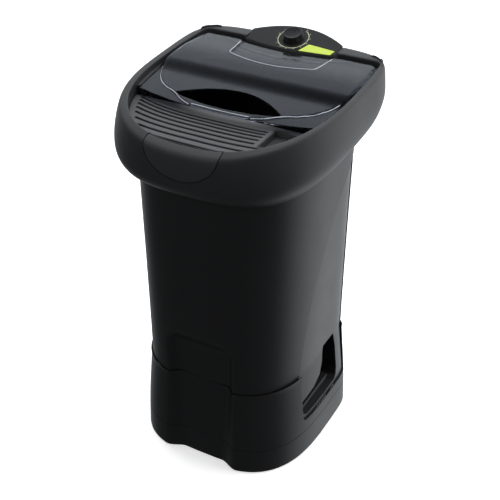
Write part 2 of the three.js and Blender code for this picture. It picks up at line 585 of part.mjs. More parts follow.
[-1, 1].forEach((side) => {
  const [a, b] = [side * (lidEdge - HINGE.bossLong - 1), side * HINGE.pinEnd];
  const pin = solid(bar(Math.min(a, b), Math.max(a, b), HINGE.y, hingeZ, HINGE.pin, 12));
  put(side < 0 ? "hinge_pin_left" : "hinge_pin_right", pin, "steel");
});

// ---------- console ----------
const fasciaOutline = lensOutline(1);
const slopeBlock = (points, from, to) =>
  solid(prismZ(points, LAND.front - 20, ABOVE)).subtract(aboveFascia(to)).intersect(aboveFascia(from));
const shaftHole = (radius) =>
  solid(new THREE.CylinderGeometry(radius, radius, 80, 24).rotateX(Math.PI / 2 + TILT)
    .translate(KNOB.x, KNOB.y, fasciaZ(KNOB.y)));
const timerScrewX = TIMER.radius + 8;
const onFascia = (geometry, dx = 0) => geometry.rotateX(TILT).translate(KNOB.x + dx, KNOB.y, fasciaZ(KNOB.y));
const timerScrewTop = -1; // the screws come from behind and end inside the fascia
const timerScrewHoles = [-1, 1].map((side) =>
  solid(onFascia(post(0, 0, -30, timerScrewTop + 0.4, 1.8, 10), side * timerScrewX)));
put("console_fascia", cut(slopeBlock(fasciaOutline, -FASCIA.thick, 0), shaftHole(KNOB.hole + 1), ...timerScrewHoles), "black");
put("accent_strip", slopeBlock([[22, 187], [93, 197], [97, 206], [36, 210]], 0.3, 1.1), "lime");

// Knob with a flat-sided grip, on the shaft of the timer behind the fascia.
const knobSides = 12;
const knobProfile = [
  [0, 1], [KNOB.radius + 1.5, 1], [KNOB.radius + 1.5, 3], [KNOB.radius, 4], [KNOB.radius - 1.5, KNOB.height - 2],
  [KNOB.radius - 4, KNOB.height], [0, KNOB.height],
];
const knobBody = solid(onFascia(turned(knobProfile, 0, 0, knobSides)));
const knobBore = solid(onFascia(post(0, 0, -5, KNOB.height - 5, TIMER.shaft + 0.3, 12)));
const pointer = solid(onFascia(new THREE.BoxGeometry(3, 15, 1.6).translate(0, 12, KNOB.height + 0.4)));
put("timer_knob", knobBody.subtract(knobBore).add(pointer), "black");
put("timer_shaft", solid(onFascia(post(0, 0, -FASCIA.thick - 3.6, KNOB.height - 5.5, TIMER.shaft, 12))), "steel");

const timerTop = -FASCIA.thick - GAP;
const timerPlate = solid(onFascia(new THREE.BoxGeometry(78, 30, 3).translate(0, 0, timerTop - 1.5)));
const timerCan = solid(onFascia(post(0, 0, timerTop - TIMER.height, timerTop - 1, TIMER.radius, 18)));
const timerBore = solid(onFascia(post(0, 0, timerTop - 4, timerTop + 2, TIMER.shaft + 0.4, 12)));
const timerRoom = solid(prismZ(lensOutline(CONSOLE.wall + 1), CONSOLE.low + CONSOLE.wall + GAP, ABOVE));
put("timer_body", cut(timerPlate.add(timerCan).intersect(timerRoom), timerBore, ...timerScrewHoles), "white");
[-1, 1].forEach((side, i) => {
  const head = post(0, 0, timerTop - 5.3, timerTop - 3.3, 3.4, 12);
  const shank = post(0, 0, timerTop - 3.6, timerScrewTop, 1.4, 10);
  put(`timer_screw_${i + 1}`, solid(onFascia(head, side * timerScrewX)).add(solid(onFascia(shank, side * timerScrewX))),
    "steel");
});

// ---------- tub ----------
const tubMouth = { half: MOUTH_PLAN.half - 18.6, front: 244, rear: 130, nFront: 2.7, nRear: 6 };
const tubNeck = { half: 184, front: 236, rear: 121, nFront: 2.9, nRear: 5.2 };
const tubFloor = { half: TUB.half, front: TUB.front, rear: TUB.rear, nFront: 2.8, nRear: 4 };
const flangeDrop = below(TUB.mouthDrop);
const outerTub = [
  ring(tubFloor, TUB.floor, 14), ring(tubFloor, TUB.floor + 5, 3), ring(tubFloor, TUB.floor + 16),
  ring(tubNeck, 560, 8), ring(tubNeck, CABINET_TOP - 4), ring(tubMouth, below(TUB.mouthDrop + TUB.wall), 6),
  ring(tubMouth, below(TUB.mouthDrop + TUB.wall), -TUB.flange), ring(tubMouth, flangeDrop, -TUB.flange),
];
const innerTub = [
  ring(tubMouth, flangeDrop, 6 + TUB.wall), ring(tubNeck, CABINET_TOP - 4, TUB.wall), ring(tubNeck, 560, 8 + TUB.wall),
  ring(tubFloor, TUB.floor + 17, TUB.wall), ring(tubFloor, TUB.floor + 8, 6),
  ring(tubFloor, TUB.floor + TUB.wall, 16), ring(tubFloor, TUB.floor + TUB.wall, 60),
];
const shaftPass = solid(post(0, DRIVE.y, TUB.floor - 10, TUB.floor + 20, HUB.tube + GAP, 18));
const drainPass = solid(post(DRAIN.x, DRAIN.y, TUB.floor - 10, TUB.floor + 20, DRAIN.radius + GAP, 18));
put("tub", cut(solid(skin([...outerTub, ...innerTub])), shaftPass, drainPass), "body");

// ---------- agitator, shaft and hub ----------
const floorTop = TUB.floor + TUB.wall;
const agitatorLow = floorTop + 6;
const dome = solid(turned([
  [0, agitatorLow + 10], [AGITATOR.radius - 12, agitatorLow + 4], [AGITATOR.radius - 4, agitatorLow],
  [AGITATOR.radius, agitatorLow], [AGITATOR.radius, agitatorLow + 4], [70, agitatorLow + 12],
  [34, agitatorLow + AGITATOR.dome], [26, agitatorLow + 33], [0, agitatorLow + 35],
], 0, DRIVE.y, 32));
const finOutline = [[20, agitatorLow + 12], [AGITATOR.radius - 14, agitatorLow + 6]];
finOutline.push([AGITATOR.radius - 16, agitatorLow + 14], [60, agitatorLow + AGITATOR.finHeight + 4]);
finOutline.push([22, agitatorLow + 42], [18, agitatorLow + 30]);
const fins = Array.from({ length: AGITATOR.fins }, (_, i) =>
  solid(prismY(finOutline, -4, 4).rotateZ((i * 2 * Math.PI) / AGITATOR.fins + 0.4).translate(0, DRIVE.y, 0)));
const shaftTop = agitatorLow + 30;
const agitatorBore = solid(post(0, DRIVE.y, agitatorLow - 5, shaftTop + 0.3, DRIVE.shaft + 0.3, 12));
const screwBore = solid(post(0, DRIVE.y, shaftTop - 1, shaftTop + 30, 3.4, 12));
put("agitator", cut(join(dome, ...fins), agitatorBore, screwBore), "white");
const shaftSolid = solid(post(0, DRIVE.y, DRIVE.low, shaftTop, DRIVE.shaft, 18));
put("drive_shaft", shaftSolid.subtract(solid(post(0, DRIVE.y, shaftTop - 16, shaftTop + 1, 2.9, 12))), "steel");
const screwHead = solid(post(0, DRIVE.y, agitatorLow + 35.4, agitatorLow + 38.4, 6.5, 12));
const screwShank = solid(post(0, DRIVE.y, shaftTop - 14, agitatorLow + 36, 2.6, 12));
put("agitator_screw", screwHead.add(screwShank), "steel");

const hubTop = TUB.floor - GAP;
const hubFlange = solid(post(0, DRIVE.y, hubTop - HUB.flangeThick, hubTop, HUB.flange, 24));
const hubTube = solid(post(0, DRIVE.y, HUB.low, floorTop + 3, HUB.tube, 18));
const hubBore = solid(post(0, DRIVE.y, HUB.low - 5, floorTop + 10, DRIVE.shaft + 1, 18));
const bushSeats = [[HUB.low - 1, HUB.low + HUB.bushLong], [floorTop - 26, floorTop + 8]].map(([a, b]) =>
  solid(post(0, DRIVE.y, a, b, HUB.bush, 18)));
put("shaft_hub", cut(join(hubFlange, hubTube), hubBore, ...bushSeats), "steel");
const sleeve = (z0, z1, outer, inner) =>
  cut(solid(post(0, DRIVE.y, z0, z1, outer, 18)), solid(post(0, DRIVE.y, z0 - 1, z1 + 1, inner, 18)));
put("lower_bush", sleeve(HUB.low, HUB.low + HUB.bushLong - GAP, HUB.bush - 0.3, DRIVE.shaft + 0.3), "brass");
put("upper_bush", sleeve(floorTop - 25.6, floorTop - 12, HUB.bush - 0.3, DRIVE.shaft + 0.3), "brass");
put("shaft_seal", sleeve(floorTop - 11.5, floorTop + 2, HUB.bush - 0.3, DRIVE.shaft + 0.35), "rubber");

// ---------- belt drive and motor ----------
function pulley(x, y, radius, bore) {
  const { low, thick, belt } = PULLEY;
  const grooveDepth = belt - 1;
  const profile = [
    [bore, low], [radius, low], [radius, low + 2], [radius - grooveDepth, low + 5.5],
    [radius - grooveDepth, low + thick - 5.5], [radius, low + thick - 2], [radius, low + thick], [bore, low + thick],
    [bore, low],
  ];
  return solid(turned(profile, x, y, radius > 40 ? 36 : 20));
}
put("driven_pulley", pulley(0, DRIVE.y, PULLEY.driven, DRIVE.shaft + 0.2), "white");
put("motor_pulley", pulley(0, MOTOR.y, PULLEY.motor, MOTOR.shaft + 0.2), "steel");

// Outline of the belt run round both pulleys: two arcs joined by the common tangents.
function beltRun(extra) {
  const span = MOTOR.y - DRIVE.y;
  const big = PULLEY.driven - PULLEY.belt + 1.6 + extra;
  const small = PULLEY.motor - PULLEY.belt + 1.6 + extra;
  const lean = (Math.asin((big - small) / span) * 180) / Math.PI;
  return [
    ...arcPoints(0, MOTOR.y, small, small, lean, 180 - lean, 8),
    ...arcPoints(0, DRIVE.y, big, big, 180 - lean, 360 + lean, 30),
  ];
}
const beltLow = PULLEY.low + 5.9;
const beltHigh = PULLEY.low + PULLEY.thick - 5.9;
put("drive_belt", solid(prismZ(beltRun(5.5), beltLow, beltHigh)).subtract(
  solid(prismZ(beltRun(0), beltLow - 1, beltHigh + 1))), "rubber");

const bellDepth = 14;
const shaftBore = (radius) => solid(post(0, MOTOR.y, MOTOR.low - 20, MOTOR.high + 20, radius, 14));
const bell = (z0, z1, top) => cut(
  solid(turned(top
    ? [[0, z0], [MOTOR.radius, z0], [MOTOR.radius, z1 - 6], [MOTOR.radius - 8, z1], [0, z1]]
    : [[0, z0], [MOTOR.radius - 8, z0], [MOTOR.radius, z0 + 6], [MOTOR.radius, z1], [0, z1]], 0, MOTOR.y, 32)),
  shaftBore(MOTOR.shaft + 0.4));
put("motor_bottom_bell", bell(MOTOR.low, MOTOR.low + bellDepth, false), "motor");
put("motor_top_bell", bell(MOTOR.high - bellDepth, MOTOR.high, true), "motor");
put("motor_stator", cut(
  solid(post(0, MOTOR.y, MOTOR.low + bellDepth + 0.3, MOTOR.high - bellDepth - 0.3, MOTOR.radius - 2, 24)),
  shaftBore(22)), "steel");
const rotor = solid(post(0, MOTOR.y, MOTOR.low + bellDepth + 3, MOTOR.high - bellDepth - 3, 21, 18));
put("motor_rotor", rotor.add(solid(post(0, MOTOR.y, DRIVE.low, MOTOR.high - 3, MOTOR.shaft, 14))), "steel");

// Bracket: a plate under the tub that holds the motor and the capacitor on rubber mounts.
const bracketTop = TUB.floor - 0.3 - 8;
const bracketLow = bracketTop - BRACKET.thick;
const capacitor = { x: -92, y: 62, radius: 16, low: 250 };
const plateOutline2 = [
  [-118, 34], [-66, 34], [-66, 50], [66, 50], [66, 118], [40, 142], [-40, 142], [-66, 118], [-66, 92], [-118, 92],
];
const mountPlaces = [[-56, 60], [56, 60], [-36, 128], [36, 128]];
const mountHoles = mountPlaces.map(([x, y]) => solid(post(x, y, 300, 340, 2.6, 12)));
const motorClear = solid(post(0, MOTOR.y, 300, 330, MOTOR.shaft + 6, 14));
put("motor_bracket", cut(solid(prismZ(plateOutline2, bracketLow, bracketTop)), motorClear, ...mountHoles), "steel");
mountPlaces.forEach(([x, y], i) => {
  const pad = solid(post(x, y, bracketTop + 0.3, TUB.floor - 0.3, BRACKET.mount, 12));
  const peg = solid(post(x, y, bracketLow - 2, bracketTop + 1, 2.2, 10));
  put(`rubber_mount_${i + 1}`, pad.add(peg), "rubber");
});
put("capacitor", post(capacitor.x, capacitor.y, capacitor.low, bracketLow - 0.3, capacitor.radius, 18), "white");

// ---------- drain and cord inlet ----------
const grateHoles = Array.from({ length: 6 }, (_, i) => {
  const t = (i * Math.PI) / 3;
  return solid(post(DRAIN.x + 7 * Math.cos(t), DRAIN.y + 7 * Math.sin(t), TUB.floor - 20, TUB.floor + 20, 2.2, 10));
});
const grateCap = solid(post(DRAIN.x, DRAIN.y, floorTop + 0.3, floorTop + 3.3, 20, 18));
const grateNeck = solid(post(DRAIN.x, DRAIN.y, TUB.floor - 6, floorTop + 1, DRAIN.radius, 18));
const grateBore = solid(post(DRAIN.x, DRAIN.y, TUB.floor - 20, floorTop, DRAIN.radius - 2.5, 18));
put("drain_grate", cut(grateCap.add(grateNeck), grateBore, ...grateHoles), "black");

const hoseRoute = new THREE.CatmullRomCurve3([
  [DRAIN.x, DRAIN.y, TUB.floor - 6.6], [DRAIN.x, DRAIN.y, 280], [DRAIN.x - 26, DRAIN.y + 10, 215],
  [-118, -40, 168], [-122, 30, 154], [DRAIN.spigotX - 8, 86, DRAIN.spigotZ], [DRAIN.spigotX, 112, DRAIN.spigotZ],
  [DRAIN.spigotX, DRAIN.joint, DRAIN.spigotZ],
].map((p) => new THREE.Vector3(...p)));
const hoseSection = shapeOf(arcPoints(0, 0, DRAIN.radius - 1, DRAIN.radius - 1, 0, 330, 11));
put("drain_hose", new THREE.ExtrudeGeometry(hoseSection, { steps: 18, extrudePath: hoseRoute, bevelEnabled: false }),
  "black");
const backWall = rearWall(DRAIN.spigotZ);
const spigotBody = solid(barY(DRAIN.spigotX, DRAIN.spigotZ, DRAIN.joint + 1, backWall + 26, DRAIN.radius, 18));
const spigotCollar = solid(barY(DRAIN.spigotX, DRAIN.spigotZ, backWall + 1.4, backWall + 5, DRAIN.radius + 6, 18));
const spigotBore = solid(barY(DRAIN.spigotX, DRAIN.spigotZ, 142, backWall + 40, DRAIN.radius - 2.5, 14));
put("drain_spigot", cut(spigotBody.add(spigotCollar), spigotBore), "black");
const glandWall = rearWall(GLAND.z);
const glandBody = solid(barY(GLAND.x, GLAND.z, glandWall - 12, glandWall + 12, GLAND.radius, 14));
const glandCollar = solid(barY(GLAND.x, GLAND.z, glandWall + 1.4, glandWall + 5, GLAND.radius + 5, 14));
put("cord_gland", cut(glandBody.add(glandCollar), solid(barY(GLAND.x, GLAND.z, 100, 220, 4, 12))), "rubber");

export default machine;
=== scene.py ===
"""A top-loading semi-automatic washing machine: fine shapes and materials around its CAD frame.

Shapes are worked out in millimetres and become metres when a mesh is made.
+Z is up, the front is towards -Y, and the origin is on the floor under the middle of the machine.
"""

import json
import math

import bpy
import numpy as np
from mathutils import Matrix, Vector
from mathutils.geometry import delaunay_2d_cdt


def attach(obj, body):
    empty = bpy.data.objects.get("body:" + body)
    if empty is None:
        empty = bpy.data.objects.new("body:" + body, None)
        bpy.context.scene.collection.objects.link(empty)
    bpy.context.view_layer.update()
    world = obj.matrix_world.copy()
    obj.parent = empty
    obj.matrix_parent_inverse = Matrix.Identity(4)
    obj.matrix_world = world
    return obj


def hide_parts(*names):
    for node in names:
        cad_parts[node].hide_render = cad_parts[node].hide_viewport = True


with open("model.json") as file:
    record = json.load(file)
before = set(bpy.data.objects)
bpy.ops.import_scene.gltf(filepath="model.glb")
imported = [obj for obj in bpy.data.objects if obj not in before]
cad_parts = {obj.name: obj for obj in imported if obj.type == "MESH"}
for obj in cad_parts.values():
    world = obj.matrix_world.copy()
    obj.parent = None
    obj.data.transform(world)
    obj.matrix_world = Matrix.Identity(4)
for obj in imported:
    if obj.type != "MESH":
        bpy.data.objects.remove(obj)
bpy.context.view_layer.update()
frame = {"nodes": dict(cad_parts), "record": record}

MM = 0.001

# ---------- dimensions shared with the CAD model ----------
PLAN_Y = 35.4  # the widest place of every plan outline
BASE_TOP = 63.5
SKIRT_TOP = 216.0
CABINET_TOP = 728.0
NECK_TOP = 700.0  # the body widens from WIDEN_FROM up to here
WIDEN_FROM = 240.0
FOOT_HEIGHT = 4.0
WALL = 3.0
GAP = 0.4


def plan(half, front, rear, n_front=3.1, n_rear=5.2):
    """A plan outline: half width, reach to the front and rear of PLAN_Y, and the two superellipse powers."""
    return np.array([half, front, rear, n_front, n_rear], float)


FLOOR_PLAN = plan(205, 257, 132)
BASE_PLAN = plan(203, 255, 130)
SKIRT_PLAN = plan(191, 246, 126)
WAIST_PLAN = plan(187.5, 246, 126)
NECK_PLAN = plan(193.8, 247, 128)
MOUTH_PLAN = plan(214.6, 268, 150.8, 2.6, 30)
MOUTH_BARREL = 0.035

RECESS = {"depth": 20, "half": 84, "blend": 26, "top": 346, "full": 298, "narrow": 30, "flare": 9, "soft": 22}
PANEL = {"low": 92, "high": 667, "rear": 131, "front": -88, "sweep": 206, "power": 2.6, "corner": 12}
LAND = {"front": 800, "slope": 0.055, "rise": 21.4, "length": 70, "from": -233.5}
BAND = {"low": 680, "slope": 0.085, "from": -245}
PLATE = {"half": 80, "drop": 60, "high": 797, "gap": 1.3, "rim": 2.2}
BOARD = {"top": 798, "rear": -84, "front": -232, "thick": 5.5}
GROOVE = {"count": 8, "first": -226, "step": 21, "shrink": 0.78, "half": 2.9, "bow": 8, "bow_half": 125}
DISH = {"left": 120, "right": 178, "front": -170, "rear": -100, "depth": 14}
LID = {"half": 211, "barrel": 11, "middle": 45, "reach": 136, "below": 4.7, "front": -84, "rear": 182}
LID_BOW = {"front": 27, "rear": 15, "rear_half": 120}
FASCIA = {"y": 183, "z": 836, "slope": 0.333, "thick": 2.5}
CONSOLE = {"half": 106, "side_front": 192, "front": 182, "side_rear": 227, "rear": 258.5, "low": 772}
KNOB = {"x": -6, "y": 221}
DRIVE_Y = -20


# ---------- curves and numbers ----------
def smooth(t):
    t = np.clip(t, 0, 1)
    return t * t * (3 - 2 * t)


def mix(a, b, t):
    return a + (b - a) * t


def spline(knots, values, at):
    """Cubic through values at knots, with the slope at each knot taken from its neighbours."""
    knots, values, at = np.asarray(knots, float), np.asarray(values, float), np.asarray(at, float)
    slopes = np.gradient(values, knots, axis=0)
    i = np.clip(np.searchsorted(knots, at, side="right") - 1, 0, len(knots) - 2)
    step = knots[i + 1] - knots[i]
    t = (at - knots[i]) / step
    if values.ndim > 1:
        step, t = step[..., None], t[..., None]
    a, b, c, d = values[i], values[i + 1], slopes[i] * step, slopes[i + 1] * step
    return a + c * t + (3 * (b - a) - 2 * c - d) * t**2 + (2 * (a - b) + c + d) * t**3


def plan_xy(params, theta, inset=0.0):
    """Points of plan outlines in directions theta seen from (0, PLAN_Y)."""
    half, front, rear, n_front, n_rear = np.moveaxis(np.asarray(params, float), -1, 0)
    c, s = np.cos(theta), np.sin(theta)
    n = np.where(s < 0, n_front, n_rear)
    reach = np.where(s < 0, front, rear) - inset
    r = (np.abs(c / (half - inset)) ** n + np.abs(s / reach) ** n) ** (-1 / n)
    return r * c, PLAN_Y + r * s


def barrelled(x, y, barrel):
    """Narrows an outline towards its rear, as the sides of the mouth do."""
    return x * (1 - barrel * np.maximum(0, (y - LID["middle"]) / LID["reach"]) ** 2)


def land_top(y):
    behind = np.asarray(y, float) - LAND["from"]
    return LAND["front"] + LAND["slope"] * behind + LAND["rise"] * (1 - np.exp(-behind / LAND["length"]))


def band_low(y):
    return BAND["low"] + BAND["slope"] * (y - BAND["from"])


def body_params(z):
    """The body's plan at heights z."""
    z = np.asarray(z, float)
    below = spline([0, BASE_TOP, SKIRT_TOP], [FLOOR_PLAN, BASE_PLAN, SKIRT_PLAN], np.minimum(z, SKIRT_TOP))
    climb = np.clip((z - WIDEN_FROM) / (NECK_TOP - WIDEN_FROM), 0, None)[..., None] ** 1.4
    above = mix(WAIST_PLAN, NECK_PLAN, climb)
    return np.where((z > SKIRT_TOP)[..., None], above, below)


def recess_depth(x, z):
    """How far the toe recess pushes the front in."""
    climb = np.clip((z - RECESS["full"]) / (RECESS["top"] - RECESS["full"]), 0, 1)
    flare = 1 - smooth(z / SKIRT_TOP)
    half = RECESS["half"] - RECESS["narrow"] * climb**2 + RECESS["flare"] * flare
    blend = RECESS["blend"] + RECESS["soft"] * flare
    return RECESS["depth"] * smooth((half - np.abs(x)) / blend) * (1 - smooth(climb))


def arc_table(params):
    """Distance round a plan outline from the rear middle past the right side, and the direction there."""
    theta = np.linspace(math.pi / 2, -1.5 * math.pi, 4001)
    x, y = plan_xy(params, theta)
    return np.concatenate([[0], np.cumsum(np.hypot(np.diff(x), np.diff(y)))]), theta


BODY_ARC = arc_table(WAIST_PLAN)
BODY_ROUND = BODY_ARC[0][-1]
RIM_ARC = arc_table(plan(225, 275, 170, 2.7, 7.0))
RIM_ROUND = RIM_ARC[0][-1]


def body_surface(s, z):
    x, y = plan_xy(body_params(z), np.interp(s, *BODY_ARC))
    y = y + np.where(y < 0, recess_depth(x, z), 0)
    return np.stack([x, y, z + 0 * x], -1)


# ---------- meshes ----------
def inside(points, loop):
    """Which points lie inside a closed loop."""
    x, y = points[:, 0][:, None], points[:, 1][:, None]
    x0, y0 = loop[:, 0][None], loop[:, 1][None]
    x1, y1 = np.roll(x0, -1, 1), np.roll(y0, -1, 1)
    crosses = (y0 > y) != (y1 > y)
    rise = np.where(crosses, y1 - y0, 1)
    return (np.sum(crosses & (x < x0 + (y - y0) * (x1 - x0) / rise), axis=1) % 2) == 1


def line_distance(points, line):
    """Distance of points from a polyline."""
    points, line = np.asarray(points, float), np.asarray(line, float)
    best = np.full(len(points), 1e9)
    for a, b in zip(line[:-1], line[1:]):
        d = b - a
        t = np.clip(((points - a) @ d) / max(d @ d, 1e-12), 0, 1)
        best = np.minimum(best, np.hypot(*(points - a - t[:, None] * d).T))
    return best


def resampled(line, step, closed=False):
    """A polyline with its long edges divided, so that no edge is much longer than step."""
    line = np.asarray(line, float)
    ends = np.vstack([line, line[:1]]) if closed else line
    out = []
    for a, b in zip(ends[:-1], ends[1:]):
        n = max(1, round(np.hypot(*(b - a)) / step))
        out += [a + (b - a) * i / n for i in range(n)]
    if not closed:
        out.append(ends[-1])
    return np.array(out)


def region(outer, holes, us, vs, guides=(), clear=2.6):
    """Triangles over a flat region with holes, filled with grid points and with edges along the guides."""
    outer = np.asarray(outer, float)
    lines = [(outer, True)]
    lines += [(np.asarray(hole, float), True) for hole in holes]
    lines += [(np.asarray(guide, float), False) for guide in guides]
    grid = np.stack(np.meshgrid(us, vs), -1).reshape(-1, 2)
    grid = grid[inside(grid, outer)]
    for loop, closed in lines:
        line = np.vstack([loop, loop[:1]]) if closed else loop
        grid = grid[line_distance(grid, line) > clear]
    points, edges = list(grid), []
    for loop, closed in lines:
        first = len(points)
        points += list(loop)
        edges += [(first + i, first + i + 1) for i in range(len(loop) - 1)]
        if closed:
            edges.append((len(points) - 1, first))
    found = delaunay_2d_cdt([Vector(p) for p in points], edges, [], 0, 1e-5)
    uv = np.array([tuple(p) for p in found[0]])
    tris = np.array(found[2], int)
    middle = uv[tris].mean(1)
    keep = inside(middle, outer)
    for hole in holes:
        keep &= ~inside(middle, np.asarray(hole, float))
    return uv, tris[keep]


def normals_of(surface, uv, h=0.05):
    u, v = uv[:, 0], uv[:, 1]
    du = surface(u + h, v) - surface(u - h, v)
    dv = surface(u, v + h) - surface(u, v - h)
    n = np.cross(du, dv)
    return n / np.maximum(np.linalg.norm(n, axis=1), 1e-12)[:, None]


def boundary_loops(tris):
    """The open edges of a triangle mesh as loops, with the material on their left."""
    edges = {(t[i], t[(i + 1) % 3]) for t in tris.tolist() for i in range(3)}
    after = {a: b for a, b in edges if (b, a) not in edges}
    loops = []
    while after:
        start, here = next(iter(after.items()))
        loop = [start]
        del after[start]
        while here != start:
            loop.append(here)
            here = after.pop(here)
        loops.append(loop)
    return loops


def linked(name, data):
    """A new object in the scene."""
    made = bpy.data.objects.new(name, data)
    bpy.context.scene.collection.objects.link(made)
    return made


class Solid:
    """Vertices and faces gathered for one piece."""

    def __init__(self):
        self.vertices = []
        self.faces = []

    def add(self, vertices, faces):
        first = len(self.vertices)
        self.vertices += [tuple(p) for p in vertices]
        self.faces += [tuple(first + i for i in face) for face in faces]
        return self

    def mirrored(self):
        other = Solid()
        other.vertices = [(-x, y, z) for x, y, z in self.vertices]
        other.faces = [face[::-1] for face in self.faces]
        return other

    def make(self, name, finish, sharp=40):
        """A Blender object whose edges above sharp degrees stay crisp."""
        mesh = bpy.data.meshes.new(name)
        mesh.from_pydata([tuple(p) for p in np.array(self.vertices) * MM], [], self.faces)
        mesh.validate()
        mesh.polygons.foreach_set("use_smooth", [True] * len(mesh.polygons))
        mesh.set_sharp_from_angle(angle=math.radians(sharp))
        mesh.materials.append(finish)
        return linked(name, mesh)


def sheet(surface, uv, tris, wall, lip=1.0, hold=0.8, flip=False):
    """A sheet of even wall thickness on a surface.

    Its edges are rounded with the radius lip, and its face stops at a distance of hold from the rounding.
    """
    points = surface(uv[:, 0], uv[:, 1])
    normals = normals_of(surface, uv) * (-1 if flip else 1)
    _, first, same = np.unique(np.round(points, 3), axis=0, return_index=True, return_inverse=True)
    points, normals, tris = points[first], normals[first], same.reshape(-1)[tris]
    tris = tris[(tris[:, 0] != tris[:, 1]) & (tris[:, 1] != tris[:, 2]) & (tris[:, 2] != tris[:, 0])]
    if flip:
        tris = tris[:, ::-1]
    loops = boundary_loops(tris)
    top, bottom = points.copy(), points - normals * wall
    made = Solid()
    count = len(points)
    rings = []
    for loop in loops:
        p, n = points[loop], normals[loop]
        ahead = np.roll(p, -1, 0) - p
        ahead /= np.maximum(np.linalg.norm(ahead, axis=1), 1e-9)[:, None]
        out_next = np.cross(ahead, n)
        out_next /= np.maximum(np.linalg.norm(out_next, axis=1), 1e-9)[:, None]
        out_last = np.roll(out_next, 1, 0)
        share = 1 / np.maximum(1 + np.sum(out_next * out_last, axis=1), 0.6)
        out = (out_next + out_last) * share[:, None]
        top[loop] = p - out * (lip + hold)
        levels = [p - out * lip]
        for a in np.radians([22.5, 45, 67.5, 90]):
            levels.append(p - out * lip * (1 - math.sin(a)) - n * lip * (1 - math.cos(a)))
        rings.append((loop, levels))
    made.add(np.vstack([top, bottom]), [tuple(t) for t in tris] + [tuple(count + t[::-1]) for t in tris])
    for loop, levels in rings:
        before = list(loop)
        m = len(loop)
        for level in levels:
            start = len(made.vertices)
            made.vertices += [tuple(q) for q in level]
            now = list(range(start, start + m))
            made.faces += [(before[(i + 1) % m], before[i], now[i], now[(i + 1) % m]) for i in range(m)]
            before = now
        under = [count + i for i in loop]
        made.faces += [(before[(i + 1) % m], before[i], under[i], under[(i + 1) % m]) for i in range(m)]
    return made


def rings_solid(rings):
    """A skin through rings of equal length, with a cap at each end."""
    m, k = len(rings[0]), len(rings)
    faces = []
    for a in range(0, (k - 1) * m, m):
        b = a + m
        faces += [(a + j, a + (j + 1) % m, b + (j + 1) % m, b + j) for j in range(m)]
    faces.append(tuple(range(m))[::-1])
    faces.append(tuple((k - 1) * m + j for j in range(m)))
    return Solid().add(np.vstack(rings), faces)


def with_all(*solids):
    whole = Solid()
    for one in solids:
        whole.add(one.vertices, one.faces)
    return whole


# ---------- materials ----------
CLOUD_SCALE = 18
POLISH_RANGE = 0.04
GRAIN_DEPTH = 0.0002
MIX_SHARE, MIX_FIRST, MIX_SECOND, MIX_RESULT = 0, 6, 7, 2  # the colour sockets of a mix node


def set_sockets(node, **values):
    """Sets a shader node's sockets, whose names are given with _ for a space."""
    for socket, value in values.items():
        node.inputs[socket.replace("_", " ")].default_value = value
    return node


def material(name, colour, roughness, metallic=0.0, grain=0.0, grain_size=0.0012, uneven=0.06, **sockets):
    """A material whose colour and roughness wander a little, with an optional moulded grain."""
    made = bpy.data.materials.new(name)
    made.use_nodes = True
    nodes, links = made.node_tree.nodes, made.node_tree.links
    shader = set_sockets(nodes["Principled BSDF"], Metallic=metallic, **sockets)
    where = nodes.new("ShaderNodeTexCoord")
    clouds = set_sockets(nodes.new("ShaderNodeTexNoise"), Scale=CLOUD_SCALE, Detail=4)
    links.new(where.outputs["Object"], clouds.inputs["Vector"])
    tint = nodes.new("ShaderNodeMix")
    tint.data_type = "RGBA"
    tint.inputs[MIX_FIRST].default_value = (*[c * (1 - uneven) for c in colour], 1)
    tint.inputs[MIX_SECOND].default_value = (*[min(1, c * (1 + uneven)) for c in colour], 1)
    links.new(clouds.outputs["Fac"], tint.inputs[MIX_SHARE])
    links.new(tint.outputs[MIX_RESULT], shader.inputs["Base Color"])
    polish = nodes.new("ShaderNodeMapRange")
    set_sockets(polish, To_Min=roughness - POLISH_RANGE, To_Max=roughness + POLISH_RANGE)
    links.new(clouds.outputs["Fac"], polish.inputs["Value"])
    links.new(polish.outputs["Result"], shader.inputs["Roughness"])
    if grain:
        dots = set_sockets(nodes.new("ShaderNodeTexNoise"), Scale=1 / grain_size)
        links.new(where.outputs["Object"], dots.inputs["Vector"])
        bump = set_sockets(nodes.new("ShaderNodeBump"), Strength=grain, Distance=GRAIN_DEPTH)
        links.new(dots.outputs["Fac"], bump.inputs["Height"])
        links.new(bump.outputs["Normal"], shader.inputs["Normal"])
    return made


BODY = material("body_plastic", (0.0125, 0.0128, 0.0138), 0.42, grain=0.25)
FRAME = material("frame_plastic", (0.019, 0.0196, 0.0208), 0.5, grain=0.3, Specular_IOR_Level=0.75)
# The front plate is the frame's plastic made lighter: painted light for its top, which catches the bright
# backdrop.
PLATE_LIT_MAT = material("plate_plastic_painted_light", (0.027, 0.028, 0.0295), 0.5, grain=0.3, Specular_IOR_Level=0.8)
PANEL_MAT = material("panel_plastic", (0.0128, 0.0131, 0.0141), 0.37, grain=0.1)
BLACK = material("black_plastic", (0.008, 0.008, 0.009), 0.3)
FASCIA_MAT = material("fascia_print", (0.011, 0.0112, 0.0122), 0.4)
LIME = material("lime_print", (0.30, 0.38, 0.05), 0.5)
PRINT = material("grey_print", (0.34, 0.36, 0.22), 0.5)
STEEL = material("zinc_steel", (0.52, 0.53, 0.54), 0.34, metallic=1.0, uneven=0.1)
ALUMINIUM = material("cast_aluminium", (0.58, 0.58, 0.59), 0.5, metallic=1.0, grain=0.5, grain_size=0.002)
BRASS = material("sintered_bronze", (0.62, 0.45, 0.22), 0.5, metallic=1.0, grain=0.4)
RUBBER = material("black_rubber", (0.012, 0.012, 0.012), 0.75, grain=0.6, grain_size=0.002)
WHITE = material("natural_plastic", (0.66, 0.66, 0.62), 0.42, grain=0.15)
TUB_MAT = material("tub_plastic", (0.012, 0.0122, 0.013), 0.4, grain=0.15)
